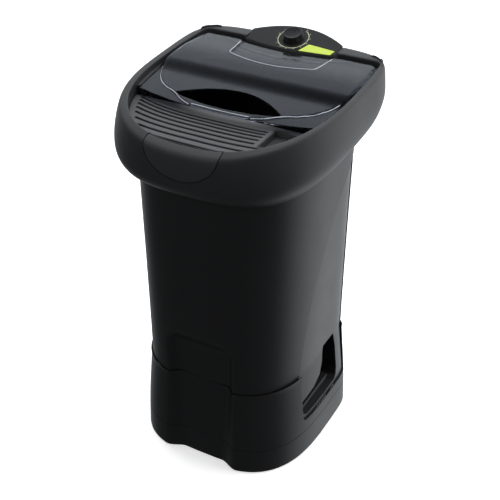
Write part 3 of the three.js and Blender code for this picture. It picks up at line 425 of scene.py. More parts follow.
# The washboard is the frame's plastic made lighter: painted sheen on its ribs.
BOARD_SHEEN_MAT = material("washboard_plastic_painted_sheen", (0.036, 0.037, 0.039), 0.5, grain=0.2, Specular_IOR_Level=0.9)
SMOKE = material("smoke_clear", (0.33, 0.36, 0.43), 0.08, uneven=0.02, Transmission_Weight=1.0, IOR=1.33,
                 Specular_IOR_Level=0.16, Specular_Tint=(0.72, 0.84, 1.0, 1))
# A light colour for the lid's fine raised lines: a painted highlight along its crease, near its front edge
# and along its well's edge.
BEAD_HIGHLIGHT = material("lid_bead_painted_highlight", (0.52, 0.56, 0.64), 0.2)

SLOT_MATERIAL = {
    "body": BODY, "frame": FRAME, "lid": SMOKE, "black": BLACK, "lime": LIME, "steel": STEEL,
    "aluminium": ALUMINIUM, "brass": BRASS, "rubber": RUBBER, "white": WHITE,
}
for part in frame["record"]["subparts"]:
    node = frame["nodes"][part["node"]]
    node.data.materials.clear()
    node.data.materials.append(SLOT_MATERIAL[part["material_slot"]])


def ready(piece, body, slot_name, *nodes):
    """The piece rides on a body and stands for CAD nodes, which it hides; slot_name is not used."""
    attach(piece, body)
    if nodes:
        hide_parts(*nodes)
    return piece


# ---------- body shells ----------
def half_at(params, y):
    """Half the width of plan outlines at y."""
    ahead = y < PLAN_Y
    reach = np.where(ahead, params[..., 1], params[..., 2])
    n = np.where(ahead, params[..., 3], params[..., 4])
    return params[..., 0] * (1 - np.minimum(1, np.abs((y - PLAN_Y) / reach)) ** n) ** (1 / n)


def side_s(y, z, right):
    """Where on the body's round a point of the side wall lies, from its y."""
    theta = np.arctan2(y - PLAN_Y, half_at(body_params(z), y))
    s = np.interp(-theta, -BODY_ARC[1], BODY_ARC[0])
    return s if right else BODY_ROUND - s


def sweep_y(z):
    """The swooping front edge of the side panel."""
    t = np.clip((z - PANEL["low"]) / (PANEL["high"] - PANEL["low"]), 0, 1)
    return PANEL["front"] + PANEL["sweep"] * t ** PANEL["power"]


def panel_window():
    """Outline of the side panel's window in Y and Z, anticlockwise seen from +X."""
    points = []
    for y, sign, angles in ((PANEL["front"], 1, (90, 60, 30, 0)), (PANEL["rear"], -1, (0, 30, 60, 90))):
        for a in np.radians(angles):
            inwards, up = PANEL["corner"] * (1 - math.sin(a)), PANEL["corner"] * (1 - math.cos(a))
            points.append((y + sign * inwards, PANEL["low"] + up))
    points.append((PANEL["rear"], PANEL["high"]))
    points += [(sweep_y(z), z) for z in np.linspace(PANEL["high"], PANEL["low"] + 16, 90)]
    return resampled(points, 6, closed=True)


def body_tube(z0, z1, windows):
    us = np.linspace(0, BODY_ROUND, 340)[1:-1]
    rows = max(4, round((z1 - z0) / 7))
    vs = np.linspace(z0, z1, rows + 1)[1:-1]
    outer = resampled([(0, z0), (BODY_ROUND, z0), (BODY_ROUND, z1), (0, z1)], 4, closed=True)
    holes = []
    if windows:
        window = panel_window()
        for right in (True, False):
            s = side_s(window[:, 0], window[:, 1], right)
            loop = np.stack([s, window[:, 1]], -1)
            holes.append(loop if right else loop[::-1])
    uv, tris = region(outer, holes, us, vs)
    return sheet(body_surface, uv, tris, WALL, lip=0.9, flip=True)


cabinet = body_tube(SKIRT_TOP + GAP + 0.3, CABINET_TOP, True).make("cabinet_shell", BODY)
ready(cabinet, "machine", "body", "cabinet")


def seam_flange(z, start, end, steps=260):
    """An inward flange just under a seam, along part of the round, which keeps light out of it."""
    theta = np.interp(np.linspace(start, end, steps) % BODY_ROUND, *BODY_ARC)
    corners = []
    for inset, drop in ((2.2, 1.8), (16, 1.8), (16, 3.8), (2.2, 3.8)):
        heights = np.full(steps, z - drop)
        x, y = plan_xy(body_params(heights), theta, inset)
        y = y + np.where(y < 0, recess_depth(x, heights), 0)
        corners.append(np.column_stack([x, y, heights]))
    return rings_solid(list(np.stack(corners, 1)))


WINDOW_CLEAR = 4.0  # how far the skirt's flanges stay off the side windows
window_y = np.array([PANEL["front"] - WINDOW_CLEAR, PANEL["rear"] + WINDOW_CLEAR])
window_front, window_rear = side_s(window_y, np.full(2, SKIRT_TOP), True)
skirt_flanges = [
    seam_flange(SKIRT_TOP, window_front, BODY_ROUND - window_front),
    seam_flange(SKIRT_TOP, BODY_ROUND - window_rear, BODY_ROUND + window_rear),
]
skirt_tube = body_tube(BASE_TOP + GAP + 0.2, SKIRT_TOP, True)
skirt = with_all(skirt_tube, *skirt_flanges).make("base_skirt_shell", BODY)
ready(skirt, "machine", "body", "base_skirt")

base_tube = body_tube(FOOT_HEIGHT, BASE_TOP, False)
base = with_all(base_tube, seam_flange(BASE_TOP, 0, BODY_ROUND - 0.5)).make("base_ring_shell", BODY)
ready(base, "machine", "body", "base_ring")


# ---------- outlines and simple solids ----------
def grow(loop, distance):
    """Moves an anticlockwise outline outwards."""
    loop = np.asarray(loop, float)
    ahead = np.roll(loop, -1, 0) - loop
    ahead /= np.maximum(np.hypot(*ahead.T), 1e-9)[:, None]
    after = np.stack([ahead[:, 1], -ahead[:, 0]], -1)
    before = np.roll(after, 1, 0)
    share = distance / np.maximum(1 + np.sum(before * after, axis=1), 0.5)
    return loop + (before + after) * share[:, None]


def arc(cx, cy, radius, start, end, steps):
    a = np.radians(np.linspace(start, end, steps + 1))
    return np.stack([cx + radius * np.cos(a), cy + radius * np.sin(a)], -1)


def rounded(loop, radius, steps=4):
    """An anticlockwise outline with its corners rounded."""
    loop = np.asarray(loop, float)
    out = []
    for before, here, after in zip(np.roll(loop, 1, 0), loop, np.roll(loop, -1, 0)):
        to_before = (before - here) / np.hypot(*(before - here))
        to_after = (after - here) / np.hypot(*(after - here))
        a, b = here + to_before * radius, here + to_after * radius
        for t in np.linspace(0, 1, steps + 1):
            out.append((1 - t) ** 2 * a + 2 * t * (1 - t) * here + t**2 * b)
    return np.array(out)


def slab(loop, low, high, radius, turn):
    """A prism over an anticlockwise outline with rounded edges; turn places its points."""
    rings = []
    for base_z, sign in ((low, -1), (high, 1)):
        angles = np.radians([0, 22.5, 45, 67.5, 90])
        for a in angles[::-1] if sign < 0 else angles:
            flat = grow(loop, -radius * (1 - math.cos(a)))
            z = base_z - sign * radius * (1 - math.sin(a))
            rings.append(turn(level(flat, z)))
    return rings_solid(rings)


def level(loop, z):
    return np.column_stack([loop, np.full(len(loop), z)])


def circle(radius, z, around):
    """A ring round the Z axis; its radius and height may change with the direction."""
    return np.column_stack([radius * np.cos(around), radius * np.sin(around), z + 0 * around])


def lathe(profile, turn, sides):
    """A solid of revolution; its profile is (radius, height) pairs from the bottom of the axis to its top."""
    around = np.linspace(0, 2 * math.pi, sides, endpoint=False)
    return rings_solid([turn(circle(r, z, around)) for r, z in profile])

# ---------- side panels ----------
PANEL_INSET = WALL + GAP
CHANNEL_FLOOR = 158.0


def side_x(y, z):
    """The panel's own body surface at the right side."""
    z = np.asarray(z, float)
    climb = np.clip((z - BASE_TOP) / (SKIRT_TOP - BASE_TOP), 0, 1)[..., None]
    above = body_params(np.maximum(z, SKIRT_TOP + 0.1))
    return half_at(np.where((z < SKIRT_TOP)[..., None], mix(BASE_PLAN, WAIST_PLAN, climb), above), y)


def panel_surface(y, z):
    return np.stack([side_x(y, z) - PANEL_INSET, y, z], -1)


channel = rounded([
    (66, 101), (78, 108), (83, 128), (83, 190), (76, 227), (23, 227), (15, 190), (0, 164), (-31, 150),
    (-62, 144), (-83, 140), (-86, 124), (-84, 110), (-72, 101),
], 2.6, 3)
channel = resampled(channel, 4, closed=True)


def from_side(points):
    """Turns an outline in Y, Z with a height into a piece that faces +X."""
    return np.column_stack([points[:, 2], points[:, 0], points[:, 1]])


def channel_ring(growth, depth):
    """The channel's outline, grown a little and pushed in from the panel by a depth."""
    return panel_surface(*grow(channel, growth).T) - np.array([depth, 0, 0])


def channel_floor(growth, below):
    """The channel's outline, grown a little, on its flat floor or a little below it."""
    return from_side(level(grow(channel, growth), CHANNEL_FLOOR - below))


panel_outer = grow(panel_window(), 4)
uv, tris = region(panel_outer, [channel], np.arange(-96, 138, 5.0), np.arange(88, 672, 6.0))
panel = sheet(panel_surface, uv, tris, 2.8, lip=1.6, hold=0.6)
tray = rings_solid([
    channel_floor(2, 2.5), channel_ring(2, 2.6), channel_ring(0, 2.6), channel_ring(-0.6, 12),
    channel_ring(-1.2, 17), channel_floor(-2.2, 1.5), channel_floor(-4, 0),
])
tray.faces = [face[::-1] for face in tray.faces]
sill_loop = rounded([(-80, 103.5), (64, 103.5), (62, 117), (-60, 117), (-78, 113)], 2, 3)
sill = slab(sill_loop, CHANNEL_FLOOR - 1, CHANNEL_FLOOR + 23, 1.6, from_side)
whole_panel = with_all(panel, tray, sill)
ready(whole_panel.make("side_panel_right_sheet", PANEL_MAT), "machine", "body", "side_panel_right")
ready(whole_panel.mirrored().make("side_panel_left_sheet", PANEL_MAT), "machine", "body", "side_panel_left")

# ---------- top frame ----------
# The frame's profile: distance along it, plan, share of the way down the band, and drop below the land.
PROFILE = [
    (0, plan(201.5, 254, 141, 3.1, 5.2), 1, 0),
    (12, plan(207, 264, 143, 3.05, 4.9), 0.94, 0),
    (32, plan(222, 282, 152, 2.95, 4.6), 0.82, 0),
    (57, plan(234.5, 293, 170, 2.85, 4.6), 0.64, 0),
    (82, plan(238, 295, 188, 2.75, 4.9), 0.44, 0),
    (110, plan(234.5, 293.8, 194, 2.65, 5.1), 0.2, 0),
    (124, plan(231, 292.3, 196, 2.6, 5.3), 0.085, 0),
    (129, plan(229.4, 291.3, 196, 2.58, 5.4), 0.04, 0),
    (132, plan(228, 290.2, 195.4, 2.56, 5.4), 0.0, 1.8),
    (134.5, plan(226, 288.4, 193.5, 2.55, 5.5), 0, 0.4),
    (137, plan(223.6, 286, 190.5, 2.55, 5.8), 0, 0),
    (140, plan(221.6, 282, 182, 2.56, 8), 0, 0),
    (146, plan(218.0, 272.4, 158.0, 2.6, 20), 0, 0),
    (149, plan(216.4, 269.6, 152.8, 2.6, 28), 0, 0.2),
    (151, plan(215.1, 268.4, 151.3, 2.6, 30), 0, 1.0),
    (152.5, MOUTH_PLAN, 0, 2.4),
    (156, MOUTH_PLAN, 0, 5.5),
]
RIM_V, RIM_PLANS, RIM_SHARE, RIM_DROP = [np.array(column, float) for column in zip(*PROFILE)]
V_LIP, V_WALL, V_END = 134.0, 156.0, 174.0  # the start of the mouth's lip and of its wall, and the wall's end
LIP_LENGTH = 16
WALL_FOOT, LEAST_WALL = 16.0, 6.0  # how far that wall reaches below the land behind the board, and at least
MOUTH_BOW = {"most": 11, "half": 120, "from": 120, "over": 60}


def mouth_bow(x, y):
    """How far the mouth's rear edge bows to the rear beside its middle."""
    aside = np.minimum(1, np.abs(x) / MOUTH_BOW["half"])
    return MOUTH_BOW["most"] * aside**2 * smooth((y - MOUTH_BOW["from"]) / MOUTH_BOW["over"])


def rim_surface(s, v):
    """The frame's skin at a distance s round it and v along its profile."""
    on_wall = np.clip((v - V_WALL) / (V_END - V_WALL), 0, 1)
    held = np.minimum(v, V_WALL)
    params = spline(RIM_V, RIM_PLANS, held)
    x, y = plan_xy(params, np.interp(s, *RIM_ARC))
    at_mouth = smooth((v - V_LIP) / LIP_LENGTH)
    x = barrelled(x, y, MOUTH_BARREL * at_mouth)
    y = y + at_mouth * mouth_bow(x, y)
    top = land_top(y)
    drop = spline(RIM_V, RIM_DROP, held)
    share = spline(RIM_V, RIM_SHARE, held)
    behind_board = smooth((y - BOARD["rear"] + 6) / 12)
    foot = mix(top - BOARD["top"] + BOARD["thick"], WALL_FOOT, behind_board)
    drop = np.where(on_wall > 0, mix(RIM_DROP[-1], np.maximum(foot, LEAST_WALL), on_wall), drop)
    z = mix(top, band_low(y), share) - drop
    return np.stack([x, y, z], -1)


def rim_find(targets, axes, start, h=0.05, longest=12):
    """The places (s, v) on the frame's skin whose coordinates along two axes are the targets."""
    at = np.array(start, float)
    targets = np.asarray(targets, float)
    for _ in range(25):
        here = rim_surface(at[:, 0], at[:, 1])[:, axes]
        by_s = (rim_surface(at[:, 0] + h, at[:, 1])[:, axes] - here) / h
        by_v = (rim_surface(at[:, 0], at[:, 1] + h)[:, axes] - here) / h
        miss = targets - here
        det = by_s[:, 0] * by_v[:, 1] - by_s[:, 1] * by_v[:, 0]
        det = np.where(np.abs(det) < 1e-4, 1e-4, det)
        step = np.stack([(miss[:, 0] * by_v[:, 1] - miss[:, 1] * by_v[:, 0]) / det,
                         (by_s[:, 0] * miss[:, 1] - by_s[:, 1] * miss[:, 0]) / det], -1)
        at = at + np.clip(step, -longest, longest)
        at[:, 1] = np.clip(at[:, 1], 0.5, V_WALL - 0.5)
    return at


FRONT_S = RIM_ROUND / 2


def mouth_reach(x):
    """How far in front of Y = 0 the mouth's edge is, at a distance to the side."""
    half, front, _, power, _ = MOUTH_PLAN
    return front * (1 - (abs(x) / half) ** power) ** (1 / power) - PLAN_Y


def plate_outline():
    """The front plate's outline on the frame's skin; each search starts from a rough place."""
    half, curve_low = PLATE["half"], PLATE["drop"] - 1
    around = np.radians(np.linspace(180, 360, 49))[1:-1]
    curve = np.stack([half * np.cos(around), PLATE["high"] - 1 + curve_low * np.sin(around)], -1)
    front = rim_find(curve, [0, 2], [(FRONT_S - x, 110 + z - PLATE["high"]) for x, z in curve])
    corners = [(half, -236.5), (half, -232), (-half, -232), (-half, -236.5)]
    corners = rim_find(corners, [0, 1], [(FRONT_S - x, 144) for x, _ in corners])
    rear_line = [(x, -mouth_reach(x) - PLATE["rim"]) for x in np.linspace(half - 2, 2 - half, 37)]
    rear = rim_find(rear_line, [0, 1], [(FRONT_S - x, 146) for x, _ in rear_line])
    rear[:, 1] = np.minimum(rear[:, 1], 153)
    return resampled(np.vstack([front, corners[:2], rear, corners[2:]]), 3, closed=True)


def signed_area(loop):
    x, y = np.asarray(loop).T
    return 0.5 * np.sum(x * np.roll(y, -1) - y * np.roll(x, -1))


def anticlockwise(loop):
    return loop if signed_area(loop) > 0 else loop[::-1]


def lens_outline(inset):
    """The console's lens in X and Y, anticlockwise."""
    half = CONSOLE["half"] - inset
    u = np.linspace(-1, 1, 25)
    front = np.stack([u * half, mix(CONSOLE["front"] + inset, CONSOLE["side_front"] + inset, u * u)], -1)
    rear = np.stack([-u * half, mix(CONSOLE["rear"] - inset, CONSOLE["side_rear"] - inset, u * u)], -1)
    return np.vstack([front, rear])


def console_hole():
    """Where the console passes through the frame's skin, at the right end of its round."""
    edge = CONSOLE["half"] + 0.6
    low = rim_find([(edge, CONSOLE["low"] - 1)], [0, 2], [(edge, 50)])
    heights = np.linspace(CONSOLE["low"] + 6, 840, 12)
    side = rim_find([(edge, z) for z in heights], [0, 2], [(edge, 60 + z - heights[0]) for z in heights])
    land_y = np.linspace(228, 197, 9)
    land = rim_find([(edge, y) for y in land_y], [0, 1], [(edge, v) for v in np.linspace(133, 147, 9)])
    before, beyond = -20, V_END + 10
    return np.vstack([[(before, low[0, 1])], low, side, land, [(land[-1, 0], beyond), (before, beyond)]])


plate_loop = anticlockwise(plate_outline())
hole_right = console_hole()
hole_left = np.column_stack([RIM_ROUND - hole_right[:, 0], hole_right[:, 1]])
us = np.linspace(0, RIM_ROUND, 330)[1:-1]
lip_vs = [126, 129.5, 132, 134.2, 137, 141, 145, 148, 149.8, 151.4, 153.2, 156, 162, 168]
vs = np.concatenate([np.linspace(4, 122, 27), lip_vs])
rim_outer = resampled([(0, 0), (RIM_ROUND, 0), (RIM_ROUND, V_END), (0, V_END)], 4, closed=True)
uv, tris = region(rim_outer, [grow(plate_loop, PLATE["gap"]), hole_right, hole_left], us, vs, clear=1.1)
skin = sheet(rim_surface, uv, tris, 3.6, lip=0.8, hold=0.7, flip=True)


POCKET_DEPTH = 2.7


def rim_inside(s, v):
    """The floor of the front plate's pocket, under the frame's skin."""
    return rim_surface(s, v) + normals_of(rim_surface, np.stack([s, v], -1)) * POCKET_DEPTH


patch_us = np.arange(FRONT_S - 92, FRONT_S + 92, 4.5)
patch_vs = np.arange(30, 156, 4.5)
uv, tris = region(grow(plate_loop, 2.8), [], patch_us, patch_vs, clear=1.6)
uv[:, 1] = np.minimum(uv[:, 1], 155)
pocket = sheet(rim_inside, uv, tris, 0.8, lip=0.2, hold=0.2, flip=True)

LEDGE_SECTION = [(-1.5, 18), (8, 18), (8, 40), (11, 40), (11, 15), (10, 14), (-1.5, 14)]  # inset, drop
ledge_rings = []
for theta in np.radians(np.linspace(-29, 209, 240)):
    ring = []
    for inset, drop in LEDGE_SECTION:
        x, y = plan_xy(MOUTH_PLAN, theta, inset)
        x = barrelled(x, y, MOUTH_BARREL)
        ring.append((x, y + mouth_bow(x, y), land_top(y) - drop))
    ledge_rings.append(ring)
ledge = rings_solid(ledge_rings)
top_frame = with_all(skin, pocket, ledge).make("top_frame_moulding", FRAME, sharp=50)
ready(top_frame, "machine", "frame", "top_frame")

uv, tris = region(grow(plate_loop, -0.55), [], patch_us, patch_vs, clear=1.6)
front_plate = sheet(rim_surface, uv, tris, 2.2, lip=0.9, hold=0.8, flip=True)
ready(front_plate.make("front_plate_half_round", PLATE_LIT_MAT), "machine", "frame", "front_plate")


# ---------- washboard and soap dish ----------
def mouth_half(y, inset=0.0):
    t = np.clip((PLAN_Y - y) / (MOUTH_PLAN[1] - inset), 0, 1)
    return (MOUTH_PLAN[0] - inset) * (1 - t ** MOUTH_PLAN[3]) ** (1 / MOUTH_PLAN[3])


def board_outline(inset):
    ys = np.concatenate([np.linspace(BOARD["rear"], -170, 18), np.linspace(-175, BOARD["front"] + 0.5, 22)])
    xs = mouth_half(ys, inset)
    left = np.column_stack([-xs, ys])
    right = np.column_stack([xs, ys])[::-1]
    return resampled(np.vstack([left, right]), 5, closed=True)


def groove(y, left, right):
    """A slot with round ends, which turn to the rear with the mouth's edge."""
    half = GROOVE["half"]
    xs = np.linspace(left, right, 34)
    middle = y + GROOVE["bow"] * (np.abs(xs) / GROOVE["bow_half"]) ** 3
    low = np.column_stack([xs, middle - half])
    high = np.column_stack([xs, middle + half])[::-1]
    right_end = arc(right, middle[-1], half, -60, 60, 4)
    return np.vstack([low, right_end, high, arc(left, middle[0], half, 120, 240, 4)])


def dish_outline(extra):
    left, right = DISH["left"] - extra, DISH["right"] + extra
    front, rear = DISH["front"] - extra, DISH["rear"] + extra
    cornered = [(left, front), (mouth_half(DISH["front"]) - 18 + extra, front), (right, DISH["front"] + 34),
                (right, rear), (left, rear)]
    return rounded(cornered, 4)


groove_holes = []
for i in range(GROOVE["count"]):
    y = GROOVE["first"] + GROOVE["step"] * i - GROOVE["shrink"] * i * i
    left = 11 - mouth_half(y + 7)
    groove_holes.append(groove(y, left, 106 if y > DISH["front"] - 12 else -left))


def flat(z):
    return lambda x, y: np.stack(np.broadcast_arrays(x, y, float(z)), -1)


board_loop = anticlockwise(board_outline(0.8))
holes = groove_holes + [dish_outline(2.6)]
uv, tris = region(board_loop, holes, np.arange(-208, 210, 6.0), np.arange(-235, -80, 3.1), clear=1.9)
board = sheet(flat(BOARD["top"]), uv, tris, BOARD["thick"], lip=1.7, hold=0.5)
floor_loop = grow(board_loop, -3)
uv, tris = region(floor_loop, [dish_outline(4)], np.arange(-204, 206, 12.0), np.arange(-226, -86, 12.0))
board_floor = sheet(flat(BOARD["top"] - 4), uv, tris, 1.2, lip=0.2, hold=0.2)
ready(with_all(board, board_floor).make("washboard_ribs", BOARD_SHEEN_MAT), "machine", "frame", "washboard")

top, low = BOARD["top"], BOARD["top"] - DISH["depth"]
dish_section = [
    (0.5, low), (2, low + 1.5), (2, top - 0.7), (1.5, top), (0.5, top), (0, top - 0.6),
    (-0.8, low + 5), (-2, low + 2.6), (-4, low + 2),
]
dish = rings_solid([level(dish_outline(extra), z) for extra, z in dish_section])
ready(dish.make("soap_dish_tray", FRAME), "machine", "frame", "soap_dish")

# ---------- lid ----------
CREASE = [
    (0, -130), (52, -116), (68, -105), (95, -92), (120, -74), (156, -55), (182, -28), (200, 8), (209, 45),
    (216, 100),
]
WELL = {"front": 90, "bow": 21, "half": 98}


def lid_half(y):
    return LID["half"] - LID["barrel"] * ((y - LID["middle"]) / LID["reach"]) ** 2


def lid_rear(x):
    return LID["rear"] - LID_BOW["rear"] * np.maximum(0, 1 - (x / LID_BOW["rear_half"]) ** 2)


def lid_front(x):
    return LID["front"] - LID_BOW["front"] * (1 - (x / LID["half"]) ** 2)


def well_front(x):
    return WELL["front"] + WELL["bow"] * (x / WELL["half"]) ** 2


def crease_side(x, y):
    """Signed distance from the lid's crease: positive outside it, towards the front corners."""
    knots = np.array(CREASE, float)
    points = np.column_stack([np.ravel(np.abs(x)), np.ravel(y)])
    away = line_distance(points, knots).reshape(np.shape(x))
    return np.where(np.interp(np.abs(x), knots[:, 0], knots[:, 1]) > y, away, -away)


def well_edge(x, y):
    """How far inside the sunken field at the lid's rear a point lies."""
    ax = np.abs(x)
    from_front = y - well_front(x)
    side_at = mix(97, 105, np.clip((y - 111) / 64, 0, 1))
    return np.minimum(from_front, side_at - ax)


def lid_height(x, y):
    crown = 4.5 * np.exp(-(((y - 95) / 62) ** 2))
    front_drop = 6 * smooth((44 - y) / 52)
    corner_drop = 2.2 * smooth(crease_side(x, y) / 2.4 + 0.5)
    well = 3.2 * smooth(well_edge(x, y) / 2.6 + 0.3) * smooth((lid_rear(x) + 30 - y) / 20)
    ridge = 0.7 * np.exp(-(((y - (134 + 19 * (x / 97) ** 2)) / 1.5) ** 2)) * (np.abs(x) < 150)
    flange = 3.4 * smooth((np.abs(x) - lid_half(y) + 4.2) / 3.6)
    return land_top(y) - LID["below"] + crown - front_drop - corner_drop - well + ridge - flange


def lid_surface(x, y):
    return np.stack([x, y, lid_height(x, y)], -1)


def lid_outline():
    xs = np.linspace(-1, 1, 91)
    rear_y, front_y = LID["rear"], LID["front"]
    front = [(u * (lid_half(front_y) - 1), lid_front(u * LID["half"])) for u in xs]
    rear = [(u * (lid_half(rear_y) - 1), lid_rear(u * 199)) for u in xs[::-1]]
    ys = np.linspace(front_y + 5, rear_y - 5, 60)
    right = [(lid_half(y), y) for y in ys]
    left = [(-lid_half(y), y) for y in ys[::-1]]
    return resampled(front + right + rear + left, 4.5, closed=True)


def hand_hole():
    u = np.linspace(-1, 1, 41)
    front = np.stack([u * 120, mix(-95, -76, u * u)], -1)[:-1]
    rear = np.stack([-u * 120, mix(-22, -76, u * u)], -1)[:-1]
    return rounded(np.vstack([front, rear]), 0.8, 1)


def spline_line(points):
    """A smooth line through points, in steps of their number."""
    points = np.array(points, float)
    knots = np.arange(len(points), dtype=float)
    return spline(knots, points, np.linspace(0, knots[-1], 60))


def both_sides(line):
    return [np.array(line, float), np.array([(-x, y) for x, y in line], float)]


lid_guides = []
for shift in (-1.3, 0.0, 1.3):
    for line in both_sides([(x - 0.35 * shift, y + shift) for x, y in CREASE[3:-1]]):
        lid_guides.append(resampled(line, 4))
well_x = np.linspace(-96, 96, 40)
for shift in (-0.6, 1.2):
    lid_guides.append(np.column_stack([well_x, well_front(well_x) + shift]))
lid_loop = anticlockwise(lid_outline())
us, vs = np.arange(-214, 215, 3.0), np.arange(-124, 186, 3.0)
uv, tris = region(lid_loop, [hand_hole()], us, vs, guides=lid_guides, clear=1.25)
lid_sheet = sheet(lid_surface, uv, tris, 2.6, lip=1.0, hold=0.6)
ready(lid_sheet.make("lid_clear_sheet", SMOKE, sharp=60), "lid", "lid", "lid")


def bead(line, half=0.55, rise=0.45):
    """A fine raised line on the lid's skin, whose light colour is a painted highlight along the lid's creases
    and edges.
    """
    line = resampled(np.array(line, float), 4)
    along = np.gradient(line, axis=0)
    along /= np.linalg.norm(along, axis=1)[:, None]
    aside = np.stack([-along[:, 1], along[:, 0]], -1)
    rings = []
    for point, side in zip(line, aside):
        ring = []
        for across, up in ((-half, -0.3), (half, -0.3), (half * 0.6, rise), (-half * 0.6, rise)):
            x, y = point + side * across
            ring.append((x, y, float(lid_height(x, y)) + up))
        rings.append(ring)
    return rings_solid(rings)


crease_line = spline_line(CREASE[2:-2])
front_line = [(x, lid_front(x) + 7) for x in np.linspace(-64, 64, 31)]
well_middle = [(x, well_front(x) - 2.5) for x in np.linspace(-97, 97, 27)]
well_line = [(-107, 172), (-100, 113), *well_middle, (100, 113), (107, 172)]
# Raised lines along the crease, near the front edge and along the well's edge, coloured as painted
# highlights.
highlight_beads = [bead(line) for line in [*both_sides(crease_line), front_line, well_line]]
ready(with_all(*highlight_beads).make("lid_painted_highlight_lines", BEAD_HIGHLIGHT), "lid", "lid")

# ---------- console ----------
TILT = math.atan(FASCIA["slope"])


def fascia_z(y):
    return FASCIA["z"] + FASCIA["slope"] * (y - FASCIA["y"])


def on_fascia(points):
    """From the knob's own axes, whose Z is its turning axis, to the machine's."""
    c, s = math.cos(TILT), math.sin(TILT)
    x, y, z = np.asarray(points, float).T
    return np.column_stack([KNOB["x"] + x, KNOB["y"] + c * y - s * z, fascia_z(KNOB["y"]) + s * y + c * z])


def fascia_surface(x, y):
    return np.stack([x, y, fascia_z(y)], -1)


def lens_floor(inset, up):
    return level(lens_outline(inset), CONSOLE["low"] + up)


def lens_top(inset, drop):
    loop = lens_outline(inset)
    return np.column_stack([loop, fascia_z(loop[:, 1]) - drop])


housing = rings_solid([
    lens_floor(3, 0), lens_floor(0.8, 0.8), lens_floor(0, 3), lens_top(0, 1.2), lens_top(0.3, 0.4),
    lens_top(0.8, 0.2), lens_top(1.3, 0.6), lens_top(1.5, 3.2), lens_top(3, 3.2), lens_floor(3, 4),
    lens_floor(4, 3),
])
ready(housing.make("console_housing_lens", FRAME), "machine", "frame", "console_housing")
fascia_loop = resampled(lens_outline(1.9), 5, closed=True)
uv, tris = region(fascia_loop, [], np.arange(-104, 105, 6.0), np.arange(180, 258, 5.0))
fascia = sheet(fascia_surface, uv, tris, FASCIA["thick"], lip=0.5, hold=0.6)
ready(fascia.make("console_fascia_plate", FASCIA_MAT), "machine", "black", "console_fascia")

strip_loop = rounded([(22, 186.5), (93, 191.5), (98, 205), (36, 210.5)], 1.5)
strip_local = np.column_stack([strip_loop[:, 0] - KNOB["x"], (strip_loop[:, 1] - KNOB["y"]) / math.cos(TILT)])
strip = slab(strip_local, 0.1, 0.9, 0.3, on_fascia)
ready(strip.make("accent_strip_print", LIME), "machine", "lime", "accent_strip")

around = np.linspace(0, 2 * math.pi, 96, endpoint=False)
facet = math.pi / 8
octagon = math.cos(facet) / np.cos((around % (2 * facet)) - facet)
knob_section = [
    (0.5, 0.9, 0), (22.5, 0.9, 0), (23.4, 1.6, 0), (23.4, 2.6, 0.1), (22.6, 3.4, 0.8), (21.8, 8, 1),
    (21.2, 11.5, 0.7), (20.7, 13.2, 0.25), (19.9, 14.4, 0), (18.6, 14.9, 0), (17.4, 14.5, 0), (14, 14.1, 0),
    (0.5, 14.0, 0),
]
knob = rings_solid([
    on_fascia(circle(radius * mix(1, octagon, faceting), z, around)) for radius, z, faceting in knob_section
])
pointer = slab(rounded([(-1.3, 6), (1.3, 6), (1.3, 17.5), (-1.3, 17.5)], 0.6, 2), 13.6, 15.1, 0.4, on_fascia)
ready(knob.make("timer_knob_grip", BLACK, sharp=28), "knob", "black", "timer_knob")
ready(pointer.make("knob_pointer", BLACK), "knob", "black")


def printed(loop):
    """A thin print on the fascia, in the knob's own axes."""
    return slab(loop, 0.02, 0.22, 0.05, on_fascia)


DIAL_START, DIAL_END, DIAL_STEP = -240, 60, 25
dial = [arc(0, 0, 33.8, DIAL_START, DIAL_END, 72), arc(0, 0, 32.6, DIAL_END, DIAL_START, 72)]
prints = [printed(np.vstack(dial))]
for degrees in range(DIAL_START, DIAL_END + 1, DIAL_STEP):
    c, s = math.cos(math.radians(degrees)), math.sin(math.radians(degrees))
    tick = [(34.6, -0.5), (38, -0.5), (38, 0.5), (34.6, 0.5)]
    prints.append(printed([(r * c - w * s, r * s + w * c) for r, w in tick]))
ready(with_all(*prints).make("dial_ring_print", PRINT), "machine", "black")

# ---------- tub and agitator ----------
TUB_MOUTH = plan(196, 244, 130, 2.7, 6)
TUB_NECK = plan(184, 236, 121, 2.9, 5.2)
TUB_FLOOR = plan(150, 186, 100, 2.8, 4)
tub_theta = np.linspace(0, 2 * math.pi, 220, endpoint=False)


def tub_ring(params, z, inset):
    """A ring of the tub at a height, or below the land by a drop given as a negative number."""
    x, y = plan_xy(params, tub_theta, inset)
    return np.column_stack([x, y, land_top(y) + z if z < 0 else np.full(len(x), float(z))])


tub_section = [
    (TUB_FLOOR, 330, 14), (TUB_FLOOR, 335, 3), (TUB_FLOOR, 346, 0), (TUB_NECK, 560, 8),
    (TUB_NECK, 724, 0), (TUB_MOUTH, -47, 6), (TUB_MOUTH, -47, -10), (TUB_MOUTH, -44, -10),
    (TUB_MOUTH, -44, 9), (TUB_NECK, 724, 3), (TUB_NECK, 560, 11), (TUB_FLOOR, 350, 3),
    (TUB_FLOOR, 341, 5), (TUB_FLOOR, 336, 9), (TUB_FLOOR, 333, 16), (TUB_FLOOR, 333, 60),
]
tub = rings_solid([tub_ring(*row) for row in tub_section])
ready(tub.make("tub_shell", TUB_MAT), "machine", "body", "tub")

